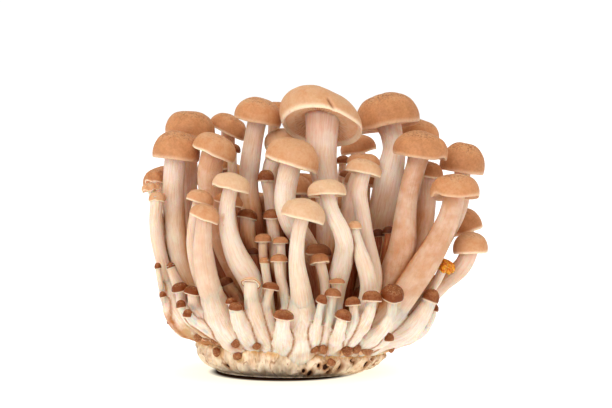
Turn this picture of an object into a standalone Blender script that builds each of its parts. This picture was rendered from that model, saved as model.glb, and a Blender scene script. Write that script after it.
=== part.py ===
"""Beech mushroom cluster: a cut mycelium block, the fused stems that grow from it, and their caps.

Lengths are millimetres until a mesh is made. +X is across, +Y is away from the front, +Z is up, and the
origin is the middle of the block's flat underside.
"""

import math
import random
from collections import namedtuple

import bmesh
import bpy
from mathutils import Vector

MM = 0.001
GAP = 0.3
SEED = 17

# The front of the cluster is laid out as an eye in front of it sees it, on the upright plane through the origin.
EYE_DISTANCE = 900
EYE_HEIGHT = 102
EYE_ACROSS = 5

# The cut block, up its side: (radius, share of the height of the slanting ring where the stems begin).
RING_HEIGHT = 9.0
RING_SLOPE = -0.073
BLOCK_PROFILE = ((23, 0), (26, 0.07), (29.2, 0.26), (31.2, 0.52), (32, 0.8), (31.2, 1))
BLOCK_SIDES = 36
BLOCK_FOLD = 0.55

# The fused feet: (reach across, reach back, height above the ring). Each stem's root lies inside them.
FOOT_PROFILE = ((30.5, 30.5, -1), (35.5, 32.5, 1.5), (39, 34.3, 4.5), (41, 34.5, 8), (38, 32, 11), (28, 25, 13))
FOOT_SIDES = 18
ROOT_PULL = 0.75
ROOT_RISE = 4

# The widest caps are pieces of their own; smaller ones are one piece with the stems.
CAP_NODES = 58
# Shares of a cap's height: where it is widest, the gills' inner and outer ends, and the lip's lowest point.
RIM_RISE = 0.15
UNDERSIDE_RISE = 0.22
GILL_RISE = 0.1
LIP_RISE = 0.03
LIP_DROP = -0.07
# Shares of its radius: the lip's lowest point, and the gills' outer ends.
LIP_REACH = 0.96
GILL_REACH = 0.9
GILL_RELIEF = 0.5
SMALL_SIDES = 5
# From this cap width up: a cap's sides, the reach of its rings, and whether it has gills.
CAP_DETAIL = ((24, 20, (1, 0.86, 0.5), True),
              (15, 12, (1, 0.86, 0.5), True),
              (10, 10, (1, 0.75), True),
              (0, 8, (1, 0.7), False))
# From this cap width up: a stem's sides and how many lengths it has.
STEM_DETAIL = ((15, 6, 6), (10, 5, 5), (6.5, 5, 4), (0, 4, 3))
# How far the top of a lopsided cap leans across, as a share of its radius.
LEANS = {"crown": -0.28}
# The exact solver leaves open edges in the union of so many thin stems.
SOLVER = "MANIFOLD"

Mushroom = namedtuple("Mushroom", "name cap depth width dome tilt foot_depth stem")

# name, cap centre (across, up), its depth, cap width, dome height, cap tilt (to the right, to the back),
# the foot's depth, and down the stem (across, up, width)
FRONT = (
    Mushroom("crown", (10.5, 84.4), -8, 28.5, 12.8, (9, 29.5), -4,
             ((10, 79, 11.2), (10.7, 72.5, 10), (12, 65.5, 9), (12.5, 55, 7.5), (12, 38.5, 7.5), (9, 18, 8))),
    Mushroom("right_high", (33.7, 84.4), 8, 22.3, 11.2, (-10.5, 7), 0,
             ((34.5, 83, 8), (35.5, 77, 7.5), (33.7, 68.5, 9.2), (31.2, 55, 9.5), (29, 42, 9), (24, 20, 8))),
    Mushroom("right_shade", (44, 80), 24, 14, 6.5, (14, 0), 12,
             ((43.5, 79, 5.5), (42, 67, 5.5), (39, 51, 6), (33.5, 33.5, 6.5), (24.5, 16, 6.5))),
    Mushroom("right_broad", (44.5, 74), -14, 19, 8.5, (8, 0), -12,
             ((43, 72.5, 7), (41, 63, 7), (39.5, 55, 7.5), (38.5, 42.5, 9.5), (35.5, 32, 11.5), (30, 21.5, 9.5),
              (22.5, 12, 8))),
    Mushroom("right_behind", (47.2, 66.8), -2, 10.5, 5.2, (6, 2), -4,
             ((46.9, 65.4, 6), (46.6, 55, 6.5), (45, 46.5, 7), (40.5, 34, 7), (31, 19, 6.5))),
    Mushroom("right_dome", (58.8, 69), 0, 15.6, 9.6, (8, 0), -6,
             ((59, 68, 5.5), (58.4, 58, 5.5), (53.8, 47.5, 5.5), (47.5, 36, 6), (39.5, 25, 6.5), (29, 13.5, 6.5))),
    Mushroom("right_low", (56.7, 60), -20, 17.5, 7.7, (-2, 6), -16,
             ((57, 58.5, 7.5), (54.7, 53, 7.5), (51.2, 45.5, 8.5), (46.7, 38, 9.5), (41.2, 29.5, 9.8),
              (34.6, 20.5, 9.5), (26, 12, 8))),
    Mushroom("right_leaning", (60.8, 48.2), 4, 11.5, 7.8, (-18, 0), -4,
             ((62, 46.5, 4), (62.5, 42, 4), (57.5, 34.5, 4), (49.5, 26.5, 5), (38, 17.5, 5.5), (28.5, 12, 5))),
    Mushroom("right_outer", (62, 41), -8, 12, 6.7, (-2, 0), -12,
             ((61.3, 40.5, 6), (59.7, 36.5, 6), (56.7, 33.3, 6.5), (52.5, 30, 6.5), (47.5, 26.3, 6.5),
              (40, 19, 6.5), (32.5, 12, 5.5))),
    Mushroom("amber", (52.5, 34.8), -14, 7, 3.7, (18, -10), -16,
             ((52.5, 33.5, 3), (49.5, 29, 3), (43, 21.5, 3), (35, 13.5, 3))),
    Mushroom("amber_chip", (49, 31), -9, 3.2, 2.0, (-10, 0), -10,
             ((48.8, 30, 2), (46, 26.5, 3), (41, 20, 3.5), (34, 13, 4))),
    Mushroom("right_button", (48, 24), -18, 6, 4.2, (20, 0), -16,
             ((47.2, 23, 5), (45, 18, 5.5), (40.5, 13, 5.5), (34, 10.5, 5))),
    Mushroom("right_clump", (49.4, 20.5), -10, 3.2, 2.4, (10, 0), -10,
             ((49.2, 19.5, 2), (47.3, 15.8, 3), (43.5, 12.8, 4), (36, 10.5, 4.5))),
    Mushroom("front_oval", (35, 25.5), -38, 8, 4.1, (12, -31), -25,
             ((35, 23, 3), (34.5, 18.5, 3.5), (31, 13.5, 4), (25, 9, 4))),
    Mushroom("button_a", (28, 24), -38, 7, 3.5, (3, 3), -26,
             ((27.5, 23, 3.5), (27, 18.5, 4), (23.5, 13.5, 4), (19, 9, 4))),
    Mushroom("button_b", (21.5, 22.5), -40, 5.5, 2.9, (-5, 3), -27,
             ((22.5, 22, 3), (22, 18, 3), (19.5, 13, 3), (16, 8.5, 3))),
    Mushroom("button_c", (18, 18), -44, 6, 3.1, (18, -10), -28,
             ((17.5, 17, 3), (16.5, 12.5, 3.5), (15, 8, 3.5))),
    Mushroom("button_d", (14.5, 25.5), -42, 6, 2.8, (3, 3), -28,
             ((15, 25, 3), (13.5, 19, 3), (12, 13, 3), (10, 8, 3))),
    Mushroom("button_e", (16, 30), -36, 5.5, 1.8, (0, 2), -27,
             ((16, 29.5, 3), (16.5, 25, 3), (16, 18.5, 3), (13, 11, 3))),
    Mushroom("button_f", (10.5, 23.5), -42, 4, 2.7, (20, -10), -29,
             ((10.5, 22.5, 2.5), (9.5, 17.5, 2.5), (8.5, 12.5, 3), (7.5, 8, 3))),
    Mushroom("mid_grey", (10, 37), -34, 7, 3.4, (-8, 10), -25,
             ((9.5, 36, 3.5), (11.5, 32, 3.5), (12, 26.5, 3.5), (11.5, 19, 3.5), (9, 12, 3.5))),
    Mushroom("mid_shade", (9.5, 40), -26, 9, 3.7, (5, 0), -20,
             ((9.5, 38.5, 4), (11, 32, 4), (11.5, 22.5, 4), (9.5, 12.5, 4))),
    Mushroom("front_tall", (4, 52.5), -42, 15.5, 6.9, (14, 3), -29,
             ((3.5, 51, 5), (2.5, 46, 5), (2, 38.5, 5.5), (3, 30.5, 7), (4, 22.5, 8), (3.4, 15, 10), (3.2, 8, 9))),
    Mushroom("front_curved", (12.5, 60.5), -35, 13.5, 5.4, (-2, 8), -24,
             ((13, 59.5, 5), (14.5, 54, 5.5), (17.5, 48.5, 6), (18.5, 43, 6.5), (17.5, 36, 7.5), (15.5, 28, 7),
              (14, 19, 6.5), (12, 11, 5.5))),
    Mushroom("right_mid", (25, 68), -22, 12.5, 4.9, (12, 6), -20,
             ((24, 67, 5), (23.5, 61.5, 5.5), (24.5, 55, 5.5), (26, 46.5, 5), (28, 38.5, 5), (29, 29.5, 5.5),
              (25, 19, 5.5), (19.5, 11, 5.5))),
    Mushroom("right_mid_back", (25, 71), -8, 11.5, 3.9, (5, 0), -8,
             ((23, 69.5, 5), (22, 63, 5.5), (20, 53, 6.5), (19, 42, 6.5), (18, 26.5, 6.5), (14.5, 13.5, 6.5))),
    Mushroom("pale_button", (22, 49), -34, 5, 2.6, (0, 4), -25,
             ((22, 48, 2.5), (23.5, 42, 4.5), (26, 34.5, 6), (27, 28, 6), (24.5, 19, 5.5), (18, 10, 5))),
    Mushroom("deep_a", (34, 47.3), -10, 4.6, 2.4, (0, 3), -10,
             ((34, 46.4, 3), (32.5, 38, 3.5), (27.5, 25, 4), (19, 13.5, 4.5))),
    Mushroom("deep_b", (30.2, 46.2), -9, 4.6, 2.6, (-6, 3), -9,
             ((30.2, 45.4, 3), (28.5, 37, 3.5), (24, 24, 4), (16, 13.5, 4.5))),
    Mushroom("right_back", (23.5, 75.5), 26, 12.5, 5.7, (-12, 0), 14,
             ((24, 74.5, 5), (22.5, 63, 5), (20.5, 46.5, 5.5), (18, 30.5, 5.5), (14.5, 14.5, 5.5))),
    Mushroom("behind_a", (18, 71.5), 20, 5, 2.6, (0, 0), 14,
             ((18, 70.5, 2.5), (17, 61.5, 2.5), (15.5, 42.5, 3), (12, 18.5, 3.5))),
    Mushroom("behind_b", (19, 66.5), 12, 5, 2.4, (15, 0), 10,
             ((19, 66, 2.5), (18.5, 55, 2.5), (16, 38.5, 3), (13, 18.5, 3.5))),
    Mushroom("left_centre", (0, 71), -26, 19, 9.1, (17, 3), -4,
             ((-1, 69, 7.5), (-1.5, 64, 7.5), (-2, 58, 7.5), (1, 50, 8), (6.5, 41, 7.5), (10, 30.5, 7),
              (9, 20.5, 7), (6.5, 12, 6.5))),
    Mushroom("left_centre_back", (-3, 78), -4, 12, 5.3, (-15, 10), -2,
             ((-6.5, 77, 5.5), (-7.5, 68.5, 5), (-6.5, 58, 5), (-5, 42.5, 5.5), (-1.5, 26.5, 6), (0, 13.5, 6))),
    Mushroom("high_left", (-11.5, 86), -6, 16.5, 8.0, (12, 0), -2,
             ((-12, 84.5, 6.5), (-13, 78.5, 6.5), (-14, 71, 7), (-14.5, 64, 6.5), (-13.5, 55, 7), (-11.5, 45, 7),
              (-7.5, 32, 7), (-3, 16, 6.5))),
    Mushroom("high_back", (-5.5, 86.5), 14, 10, 6.1, (10, 0), 8,
             ((-5.5, 85.5, 4), (-6.5, 71, 4), (-5.5, 51, 5), (-3, 30.5, 5.5), (-1, 14.5, 5.5))),
    Mushroom("left_back", (-22, 82.5), 16, 13.5, 5.7, (25, -4), 8,
             ((-22.5, 81, 5), (-21.5, 75, 5), (-20.5, 63, 5.5), (-17, 42.5, 6), (-11.5, 26.5, 6.5),
              (-5, 14.5, 6.5))),
    Mushroom("left_peek", (-20, 75.5), 8, 5.5, 2.8, (10, 0), 6,
             ((-20.5, 74.5, 3), (-19.5, 63, 3.5), (-16, 42.5, 4), (-11.5, 26.5, 4.5), (-5, 14.5, 4.5))),
    Mushroom("left_slant", (-26.8, 74.8), -14, 15.5, 6.9, (24, 0), -10,
             ((-27.7, 73.8, 8), (-28, 68.5, 8.5), (-27.5, 61.5, 8), (-25.5, 51.5, 7), (-23.5, 42.5, 6),
              (-19.5, 33, 5.5), (-14.5, 24, 6), (-9.5, 14.5, 6.5))),
    Mushroom("far_left_back", (-34.8, 81.1), 6, 17.2, 8.3, (10, 0), 2,
             ((-34.5, 80, 5), (-34.5, 71, 5), (-34.5, 61.5, 5), (-33.5, 46.5, 5.5), (-28.5, 33, 6),
              (-20.5, 21.5, 6), (-12, 13.5, 6))),
    Mushroom("far_left", (-39.5, 73.5), -12, 16.5, 9.1, (6, 0), -10,
             ((-40, 72, 7.5), (-40.5, 63, 7.5), (-40.2, 53, 7.5), (-39.5, 45, 7.5), (-38, 38, 7),
              (-35, 31.5, 6.5), (-28.5, 22.5, 6.5), (-18, 13.5, 7))),
    Mushroom("edge_a", (-46, 65), 0, 8, 4.2, (-5, 0), -4,
             ((-45, 64, 3.5), (-43, 55, 3.5), (-42, 42.5, 3.5), (-38, 30.5, 4), (-28.5, 18.5, 4.5),
              (-19.5, 12.5, 4.5))),
    Mushroom("edge_b", (-48, 62), -8, 6, 2.8, (-12, 4), -10,
             ((-47.5, 61, 2.5), (-46, 56, 3), (-44, 45, 3.5), (-41, 33, 4), (-36, 22, 4.5), (-29, 13, 4.5))),
    Mushroom("edge_low", (-46, 58.5), -13, 5.6, 3.2, (2, 6), -15,
             ((-46, 57.5, 4.5), (-46.5, 52, 4.5), (-46, 45, 4.5), (-44, 36, 4.5), (-41.5, 25, 5), (-38, 17.5, 5),
              (-31.5, 13, 5))),
    Mushroom("edge_stub", (-41.2, 35.5), -20, 3.2, 1.8, (-20, 0), -16,
             ((-41, 34.5, 2.8), (-39.5, 31, 4), (-37, 26, 4.6), (-33, 19.5, 4.6), (-27, 13, 4.5))),
    Mushroom("edge_pin_a", (-45.7, 35.2), -18, 2.4, 2.0, (-8, 0), -15,
             ((-45.6, 34.5, 1.8), (-45, 30, 2), (-43.6, 24, 2.6), (-40, 17, 3.8), (-31, 12.5, 4.5))),
    Mushroom("edge_pin_b", (-44, 25.3), -18, 2.4, 2.0, (-12, 0), -15,
             ((-43.8, 24.5, 1.8), (-42.4, 20, 2.6), (-40, 16.5, 3.6), (-35, 13.5, 4.2), (-28, 12, 4.5))),
    Mushroom("edge_pin_c", (-41.4, 16.3), -14, 2.4, 1.8, (-24, 0), -13,
             ((-41, 15.6, 1.8), (-38.5, 13.8, 3), (-30, 12, 4.5))),
    Mushroom("front_left_mid", (-20.7, 62.6), -33, 13.4, 5.5, (13, 4), -24,
             ((-21.5, 61.5, 5), (-22, 56.5, 5.5), (-22, 51, 6), (-20.5, 44.5, 7), (-18, 38, 8), (-14, 31.5, 8.5),
              (-11.5, 24, 7.5), (-9, 16.5, 7.5), (-6.5, 10, 6.5))),
    Mushroom("left_mid_behind", (-21.5, 57.6), -22, 10, 3.6, (15, 0), -16,
             ((-21.5, 56.6, 4), (-20.5, 50, 4.5), (-18.5, 40, 5), (-14.5, 27, 5), (-9.5, 14.5, 5.5))),
    Mushroom("left_low_back", (-31.5, 58), -29, 9.5, 4.4, (18, 5), -20,
             ((-32, 56.5, 4.5), (-33.5, 50.5, 4), (-34, 42.5, 4), (-32.5, 34.5, 4), (-29, 25.5, 4.5),
              (-22.5, 16, 5), (-16, 11, 5))),
    Mushroom("left_low", (-30, 52.5), -38, 10.6, 4.9, (22, 0), -25,
             ((-29.7, 51, 5), (-30.2, 45, 6.3), (-30.1, 38.5, 7.3), (-28.8, 31.5, 8), (-26.5, 24.5, 8),
              (-23.5, 16.5, 8), (-18, 10, 7.5))),
    Mushroom("dark_left", (-15, 52.5), -18, 7, 3.2, (12, 6), -14,
             ((-14.5, 51.5, 5), (-14.5, 45, 5), (-12.5, 38.5, 5), (-9.5, 30.5, 5), (-5.5, 16, 5.5))),
    Mushroom("dark_mid", (-6.5, 52.5), -24, 6, 3.2, (0, 0), -18,
             ((-6, 51.5, 4), (-5.5, 45, 4), (-5, 34.5, 4.5), (-2.5, 16, 5))),
    Mushroom("dark_high", (-8.5, 65.5), -8, 6, 3.7, (0, 0), -6,
             ((-8, 64.5, 4), (-7, 57.5, 4), (-5.5, 42.5, 4.5), (-2.5, 22.5, 5), (0, 13.5, 5))),
    Mushroom("small_a", (-9.5, 44.5), -27, 6, 2.7, (0, 0), -22,
             ((-9.5, 44, 3), (-9.5, 38.5, 3), (-8, 30.5, 3), (-5.5, 14.5, 3.5))),
    Mushroom("small_b", (-3.5, 44), -30, 5.5, 2.1, (0, 0), -24,
             ((-3, 43.5, 3), (-3, 36, 3), (-3, 26.5, 3.5), (-2, 13.5, 3.5))),
    Mushroom("small_c", (-9, 37), -33, 3.5, 2.1, (0, 0), -26,
             ((-8, 36.5, 3), (-8, 30.5, 3), (-7, 22.5, 3), (-5, 12, 3.5))),
    Mushroom("small_d", (-4, 37.5), -36, 6, 2.6, (0, 4), -27,
             ((-4, 37, 3.5), (-3.5, 32, 3.5), (-2, 26.5, 3.5), (-1.5, 20, 3.5), (-2, 11, 4))),
    Mushroom("small_e", (-13, 40), -24, 4, 2.3, (0, 0), -20,
             ((-12, 39, 2.5), (-11, 32, 2.5), (-8, 22.5, 3), (-5.5, 14.5, 3))),
    Mushroom("small_f", (-7, 28), -39, 6, 2.4, (10, 3), -28,
             ((-8, 27.5, 3), (-8.5, 22.5, 3), (-7.5, 16, 3.5), (-5.5, 10, 3.5))),
    Mushroom("torn", (-13.8, 29.6), -42, 7, 1.9, (13, 32), -28,
             ((-14, 28.5, 4.5), (-13.5, 22.5, 5), (-11.5, 16, 5), (-8, 10, 5))),
    Mushroom("small_g", (-22, 29.5), -24, 5, 2.8, (-24, 0), -22,
             ((-20.5, 28.5, 4), (-18, 24, 4), (-14.5, 17.5, 4), (-9.5, 11, 4.5))),
    Mushroom("small_h", (-20.5, 23), -38, 4, 2.1, (-5, 0), -27,
             ((-20, 22.5, 2.5), (-18.5, 17.5, 3), (-13, 11, 3))),
    Mushroom("small_i", (-19, 21), -43, 5, 2.4, (5, -8), -28,
             ((-19, 20.5, 3.5), (-17.5, 16, 4.5), (-13, 10, 5))),
    Mushroom("small_j", (-2.5, 18), -45, 7, 2.9, (8, -6), -30,
             ((-3, 17, 4), (-3, 12.5, 4.5), (-2.5, 8, 4.5))),
    Mushroom("dark_pair_a", (-38, 27.5), -26, 6, 2.8, (-12, -4), -20,
             ((-38.5, 27, 3), (-37, 20.5, 3.5), (-31, 15, 4), (-21, 10, 4))),
    Mushroom("dark_pair_b", (-34, 26.5), -31, 6, 2.6, (10, -4), -22,
             ((-34.5, 25.5, 3.5), (-32, 20, 4), (-26, 14.5, 4.5), (-18, 10, 4.5))),
    Mushroom("low_left_a", (-37.7, 21.7), -28, 3.5, 2.6, (-10, 0), -21,
             ((-37, 21.2, 2.5), (-33.5, 17, 2.5), (-22.5, 10, 3))),
    Mushroom("low_left_b", (-35.5, 18.5), -31, 3.5, 2.6, (0, -5), -22,
             ((-35, 18, 2.5), (-30, 14.5, 2.5), (-20.5, 9.5, 3))),
    Mushroom("right_pin", (33.5, 10.5), -27, 4.5, 2.4, (5, -10), -22,
             ((33, 10, 3), (29, 8.5, 3), (24.5, 8, 3))),
)

# Behind, rings of mushrooms close the cluster: how many, from and to which angle round the block, the foot's
# and the cap's distance from the middle, the cap's height, its width, and the stem's width
Ring = namedtuple("Ring", "name count first last foot reach rise width stem")
BACK_RINGS = (
    Ring("back_outer", 8, 10, 170, 26, 44, 57, 14.0, 6.5),
    Ring("back_inner", 6, 20, 160, 16, 27, 65, 12.5, 6.5),
    Ring("back_heart", 3, 25, 130, 7, 10, 60, 12.5, 6.5),
    Ring("back_low", 6, 20, 157, 29, 42.5, 35, 8.0, 5.0),
    Ring("back_button", 6, 6, 174, 30, 42, 22, 6.0, 4.0),
)
HEIGHT_SPREAD = 0.13
WIDTH_SPREAD = 0.18
TURN_SPREAD = 0.25
REACH_SPREAD = 0.06
DOME_OF_WIDTH = 0.46
BACK_TILT = 16
LEAST_TILT = 0.2
BACK_STATIONS = (0.97, 0.75, 0.5, 0.25, 0)
ROOT_WIDTH = 1.15
STEM_TAPER = 0.3
# The heads behind stay low where the front lets daylight through, just right of the crown.
NOTCH_ACROSS = 20
NOTCH_WIDTH = 9
NOTCH_DROP = 13

# Pin-sized mushrooms: (across, height above the ring, cap width), on the feet and on the block's side.
FOOT_PINS = ((-30, 2.2, 3.6), (-27.5, 2.4, 2.8), (-24.5, 1.8, 3.0), (-17.7, 2.3, 4.0), (-11, 1.9, 3.2),
             (3.4, 1.9, 3.6), (7.6, 2.1, 3.2), (10.6, 2.0, 3.2), (18.3, 2.1, 4.2), (21.4, 2.6, 3.6),
             (24.8, 2.3, 4.6), (33.5, 1.6, 2.6))
BLOCK_PINS = ((-24.2, -2.6, 3.0), (-17.3, -2.8, 2.8), (13.5, -2.4, 2.6))
BACK_PINS = 8
PIN_REACH = 31
BACK_PIN_RISE = (1.8, 3.4)
BACK_PIN_WIDTH = (2.8, 4.2)
# A pin in shares of its width: each ring's place along it and radius, its tip, and how far up it nods.
PIN_RINGS = ((-0.8, 0.25), (0.1, 0.28), (0.2, 0.5), (0.6, 0.36))
PIN_TIP = 0.78
PIN_NOD = 0.35
PIN_SIDES = 5

# How bun-shaped a cap's top is, and the room its lip takes below its rim, as a share of its height.
DOME_POWER = 2.4
LIP_ROOM = 0.12
# Trying caps against each other, and moving those that touch apart in depth, a step at a time.
OUTLINE_SIDES = 12
OUTLINE_REACHES = (1, 0.85, 0.5)
TOUCHING = 1.02
SETTLE_ROUNDS = 60
SETTLE_STEP = 0.45
# Bending stems clear of other mushrooms' caps in the same way.
BEND_ROUNDS = 60
BEND_STEP = 0.9
BEND_SOFTENING = 12
BEND_REACH = 8
CLEARANCE = 1.3
# How soon a stem, going up, leaves the depth of its foot for that of its cap.
FLARE = 2.2
STEM_SAMPLES = 24
# Shares of a small cap's height and radius: where its stem ends in it, and its rings.
SMALL_STEM_TOP = 0.5
SMALL_CAP_RINGS = ((0.85, 0), (1, 0.08), (0.7, 0.7))
WIDEST_SOCKET = 0.8
# Folds round the block: waves (how many, where they start) and the teeth between neighbouring points.
FOLD_WAVES = ((11, 0), (17, 1))
FOLD_TEETH = 0.6
CUTTER_REACH = 90
CUTTER_LOW = -30
# Seats are cut into the stems a little nearer to the caps than the gap, so that slanting faces keep it too.
SEAT_SHARE = 0.9
SMOOTH_ANGLE = 50

# Each material: its colour and its roughness.
CAP_SKIN = ((0.60, 0.36, 0.18), 0.55)
STEM_FLESH = ((0.86, 0.74, 0.60), 0.6)
MYCELIUM = ((0.80, 0.68, 0.50), 0.85)


def stretch_at(depth):
    """How much larger a thing at this depth is than it looks on the upright plane."""
    return 1 + depth / EYE_DISTANCE


def seen_at(across, up, depth):
    """The place that the eye sees at this spot of the upright plane."""
    stretch = stretch_at(depth)
    return Vector((EYE_ACROSS + (across - EYE_ACROSS) * stretch, depth, EYE_HEIGHT + (up - EYE_HEIGHT) * stretch))


def on_plane(place):
    """Where the eye sees this place, on the upright plane."""
    stretch = stretch_at(place.y)
    return EYE_ACROSS + (place.x - EYE_ACROSS) / stretch, EYE_HEIGHT + (place.z - EYE_HEIGHT) / stretch


def ring_height(across):
    return RING_HEIGHT + RING_SLOPE * across


def back_mushrooms():
    """Rows like those of the front, for the rings of mushrooms behind."""
    chance = random.Random(SEED)
    rows = []
    for ring in BACK_RINGS:
        for number in range(ring.count):
            share = (number + chance.uniform(-TURN_SPREAD, TURN_SPREAD)) / (ring.count - 1)
            angle = math.radians(ring.first + (ring.last - ring.first) * share)
            aim = Vector((math.cos(angle), math.sin(angle), 0))
            rise = ring.rise * (1 + chance.uniform(-HEIGHT_SPREAD, HEIGHT_SPREAD))
            rise -= NOTCH_DROP * math.exp(-(((aim.x * ring.reach - NOTCH_ACROSS) / NOTCH_WIDTH) ** 2))
            width = ring.width * (1 + chance.uniform(-WIDTH_SPREAD, WIDTH_SPREAD))
            head = aim * ring.reach * (1 + chance.uniform(-REACH_SPREAD, REACH_SPREAD)) + Vector((0, 0, rise))
            foot = aim * ring.foot + Vector((0, 0, ring_height(aim.x * ring.foot) + ROOT_RISE))
            stem = []
            for step in BACK_STATIONS:
                place = foot.lerp(head, 1 - (1 - step) ** FLARE)
                place.z = foot.z + (head.z - foot.z) * step
                stem.append((*on_plane(place), ring.stem * (ROOT_WIDTH - STEM_TAPER * step)))
            tilt = (BACK_TILT * aim.x * chance.uniform(LEAST_TILT, 1),
                    BACK_TILT * aim.y * chance.uniform(LEAST_TILT, 1))
            rows.append(Mushroom(f"{ring.name}_{number + 1}", on_plane(head), head.y, width,
                                 width * DOME_OF_WIDTH, tilt, foot.y, tuple(stem)))
    return rows


class Cap:
    """Where a mushroom's cap is, and how near other things come to it."""

    def __init__(self, row):
        stretch = stretch_at(row.depth)
        right, back = (math.radians(angle) for angle in row.tilt)
        self.row = row
        self.centre = seen_at(*row.cap, row.depth)
        self.axis = Vector((math.tan(right), math.tan(back), 1)).normalized()
        self.radius = row.width / 2 * stretch
        self.height = row.dome * stretch
        self.side = self.axis.orthogonal().normalized()
        self.front = self.axis.cross(self.side)
        self.lean = Vector((LEANS.get(row.name, 0) * self.radius, 0, 0))

    def point(self, turn, reach, rise):
        """A point of the cap: a share of its radius out, at this angle, and a share of its height up."""
        out = self.side * math.cos(turn) + self.front * math.sin(turn)
        return self.centre + out * self.radius * reach + (self.axis * self.height + self.lean) * rise

    def nearness(self, place, margin):
        """Below 1 where a place is within the margin of the cap."""
        offset = place - self.centre
        along = offset.dot(self.axis)
        across = (offset - self.axis * along).length
        if along > 0:
            past = max(0, along - RIM_RISE * self.height) / ((1 - RIM_RISE) * self.height + margin)
        else:
            past = along / (LIP_ROOM * self.height + margin)
        return (across / (self.radius + margin)) ** DOME_POWER + past ** 2

    def outline(self):
        """Points all over the cap, for trying it against its neighbours."""
        points = [self.point(0, 0, 1)]
        for reach, rise in ((LIP_REACH, 0), *((reach, dome_rise(reach)) for reach in OUTLINE_REACHES)):
            points += [self.point(math.tau * k / OUTLINE_SIDES, reach, rise) for k in range(OUTLINE_SIDES)]
        return points


def dome_rise(reach):
    """How high a cap's top is at this share of its radius, as a share of its height."""
    return RIM_RISE + (1 - RIM_RISE) * (1 - reach ** DOME_POWER) ** 0.5


def settled(rows):
    """The rows with their depths changed until no two caps touch; each keeps its place in the front view."""
    caps = [Cap(row) for row in rows]
    pairs = [(a, b) for a in range(len(caps)) for b in range(a) if may_touch(caps[a], caps[b])]
    for _ in range(SETTLE_ROUNDS):
        pushes = [0.0] * len(caps)
        for a, b in pairs:
            closeness = min(min(caps[a].nearness(place, GAP) for place in caps[b].outline()),
                            min(caps[b].nearness(place, GAP) for place in caps[a].outline()))
            if closeness < TOUCHING:
                way = 1 if caps[a].row.depth > caps[b].row.depth else -1
                pushes[a] += way * SETTLE_STEP
                pushes[b] -= way * SETTLE_STEP
        if not any(pushes):
            break
        caps = [Cap(cap.row._replace(depth=cap.row.depth + push)) if push else cap
                for cap, push in zip(caps, pushes)]
    return caps


def may_touch(one, other):
    """Whether two caps could meet if their depths changed."""
    apart = Vector(one.row.cap) - Vector(other.row.cap)
    return apart.length < one.radius + other.radius + max(one.height, other.height)


def stem_path(cap):
    """A smooth line of (place, radius) up the middle of a mushroom's stem, from its root to its cap."""
    row = cap.row
    marks = list(reversed(row.stem))
    lengths = [0.0]
    for lower, upper in zip(marks, marks[1:]):
        lengths.append(lengths[-1] + math.dist(lower[:2], upper[:2]))
    line = []
    for (across, up, width), length in zip(marks, lengths):
        share = 1 - (1 - length / lengths[-1]) ** FLARE
        depth = row.foot_depth + (row.depth - row.foot_depth) * share
        line.append((seen_at(across, up, depth), width / 2 * stretch_at(depth)))
    foot, foot_radius = line[0]
    root = Vector((foot.x * ROOT_PULL, foot.y * ROOT_PULL, min(foot.z - 2, ring_height(foot.x) + ROOT_RISE)))
    line.insert(0, (root, foot_radius))
    line[-1] = (cap.centre + cap.axis * (UNDERSIDE_RISE * cap.height - GAP), line[-1][1])
    return curve_through(line)


def curve_through(line):
    """Evenly many points on the smooth curve through a line's own points."""
    steps = len(line) - 1
    curve = []
    for k in range(STEM_SAMPLES + 1):
        place = k / STEM_SAMPLES * steps
        index = min(int(place), steps - 1)
        near = [line[min(max(index + shift, 0), steps)] for shift in (-1, 0, 1, 2)]
        curve.append((smooth_value([place for place, _ in near], place - index),
                      smooth_value([radius for _, radius in near], place - index)))
    return curve


def smooth_value(near, share):
    """A Catmull-Rom curve's value between the second and third of four neighbours."""
    before, start, end, after = near
    return 0.5 * (start * 2 + (end - before) * share + (before * 2 - start * 5 + end * 4 - after) * share ** 2
                  + (start * 3 - before - end * 3 + after) * share ** 3)


def bent_clear(path, own, caps):
    """The path moved in depth, a little at a time, until it clears the other caps."""
    places = [place.copy() for place, _ in path]
    radii = [radius for _, radius in path]
    near = [cap for cap in caps if cap is not own and
            min((place - cap.centre).length for place in places) < cap.radius + cap.height + BEND_REACH]
    for _ in range(BEND_ROUNDS):
        pushes = [0.0] * len(places)
        for k in range(2, len(places) - 1):
            for cap in near:
                if cap.nearness(places[k], radii[k] + CLEARANCE) < 1:
                    pushes[k] += BEND_STEP if places[k].y > cap.centre.y else -BEND_STEP
        if not any(pushes):
            break
        for _ in range(BEND_SOFTENING):
            pushes = [0] + [(a + 2 * b + c) / 4 for a, b, c in zip(pushes, pushes[1:], pushes[2:])] + [0]
        for place, push in zip(places, pushes):
            place.y += push
    return list(zip(places, radii))


def turned_ring(centre, axis, radius, sides, start=0.0):
    """Points round a centre, square to an axis."""
    side = axis.orthogonal().normalized()
    front = axis.cross(side)
    turns = (start + math.tau * k / sides for k in range(sides))
    return [centre + (side * math.cos(turn) + front * math.sin(turn)) * radius for turn in turns]


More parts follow.
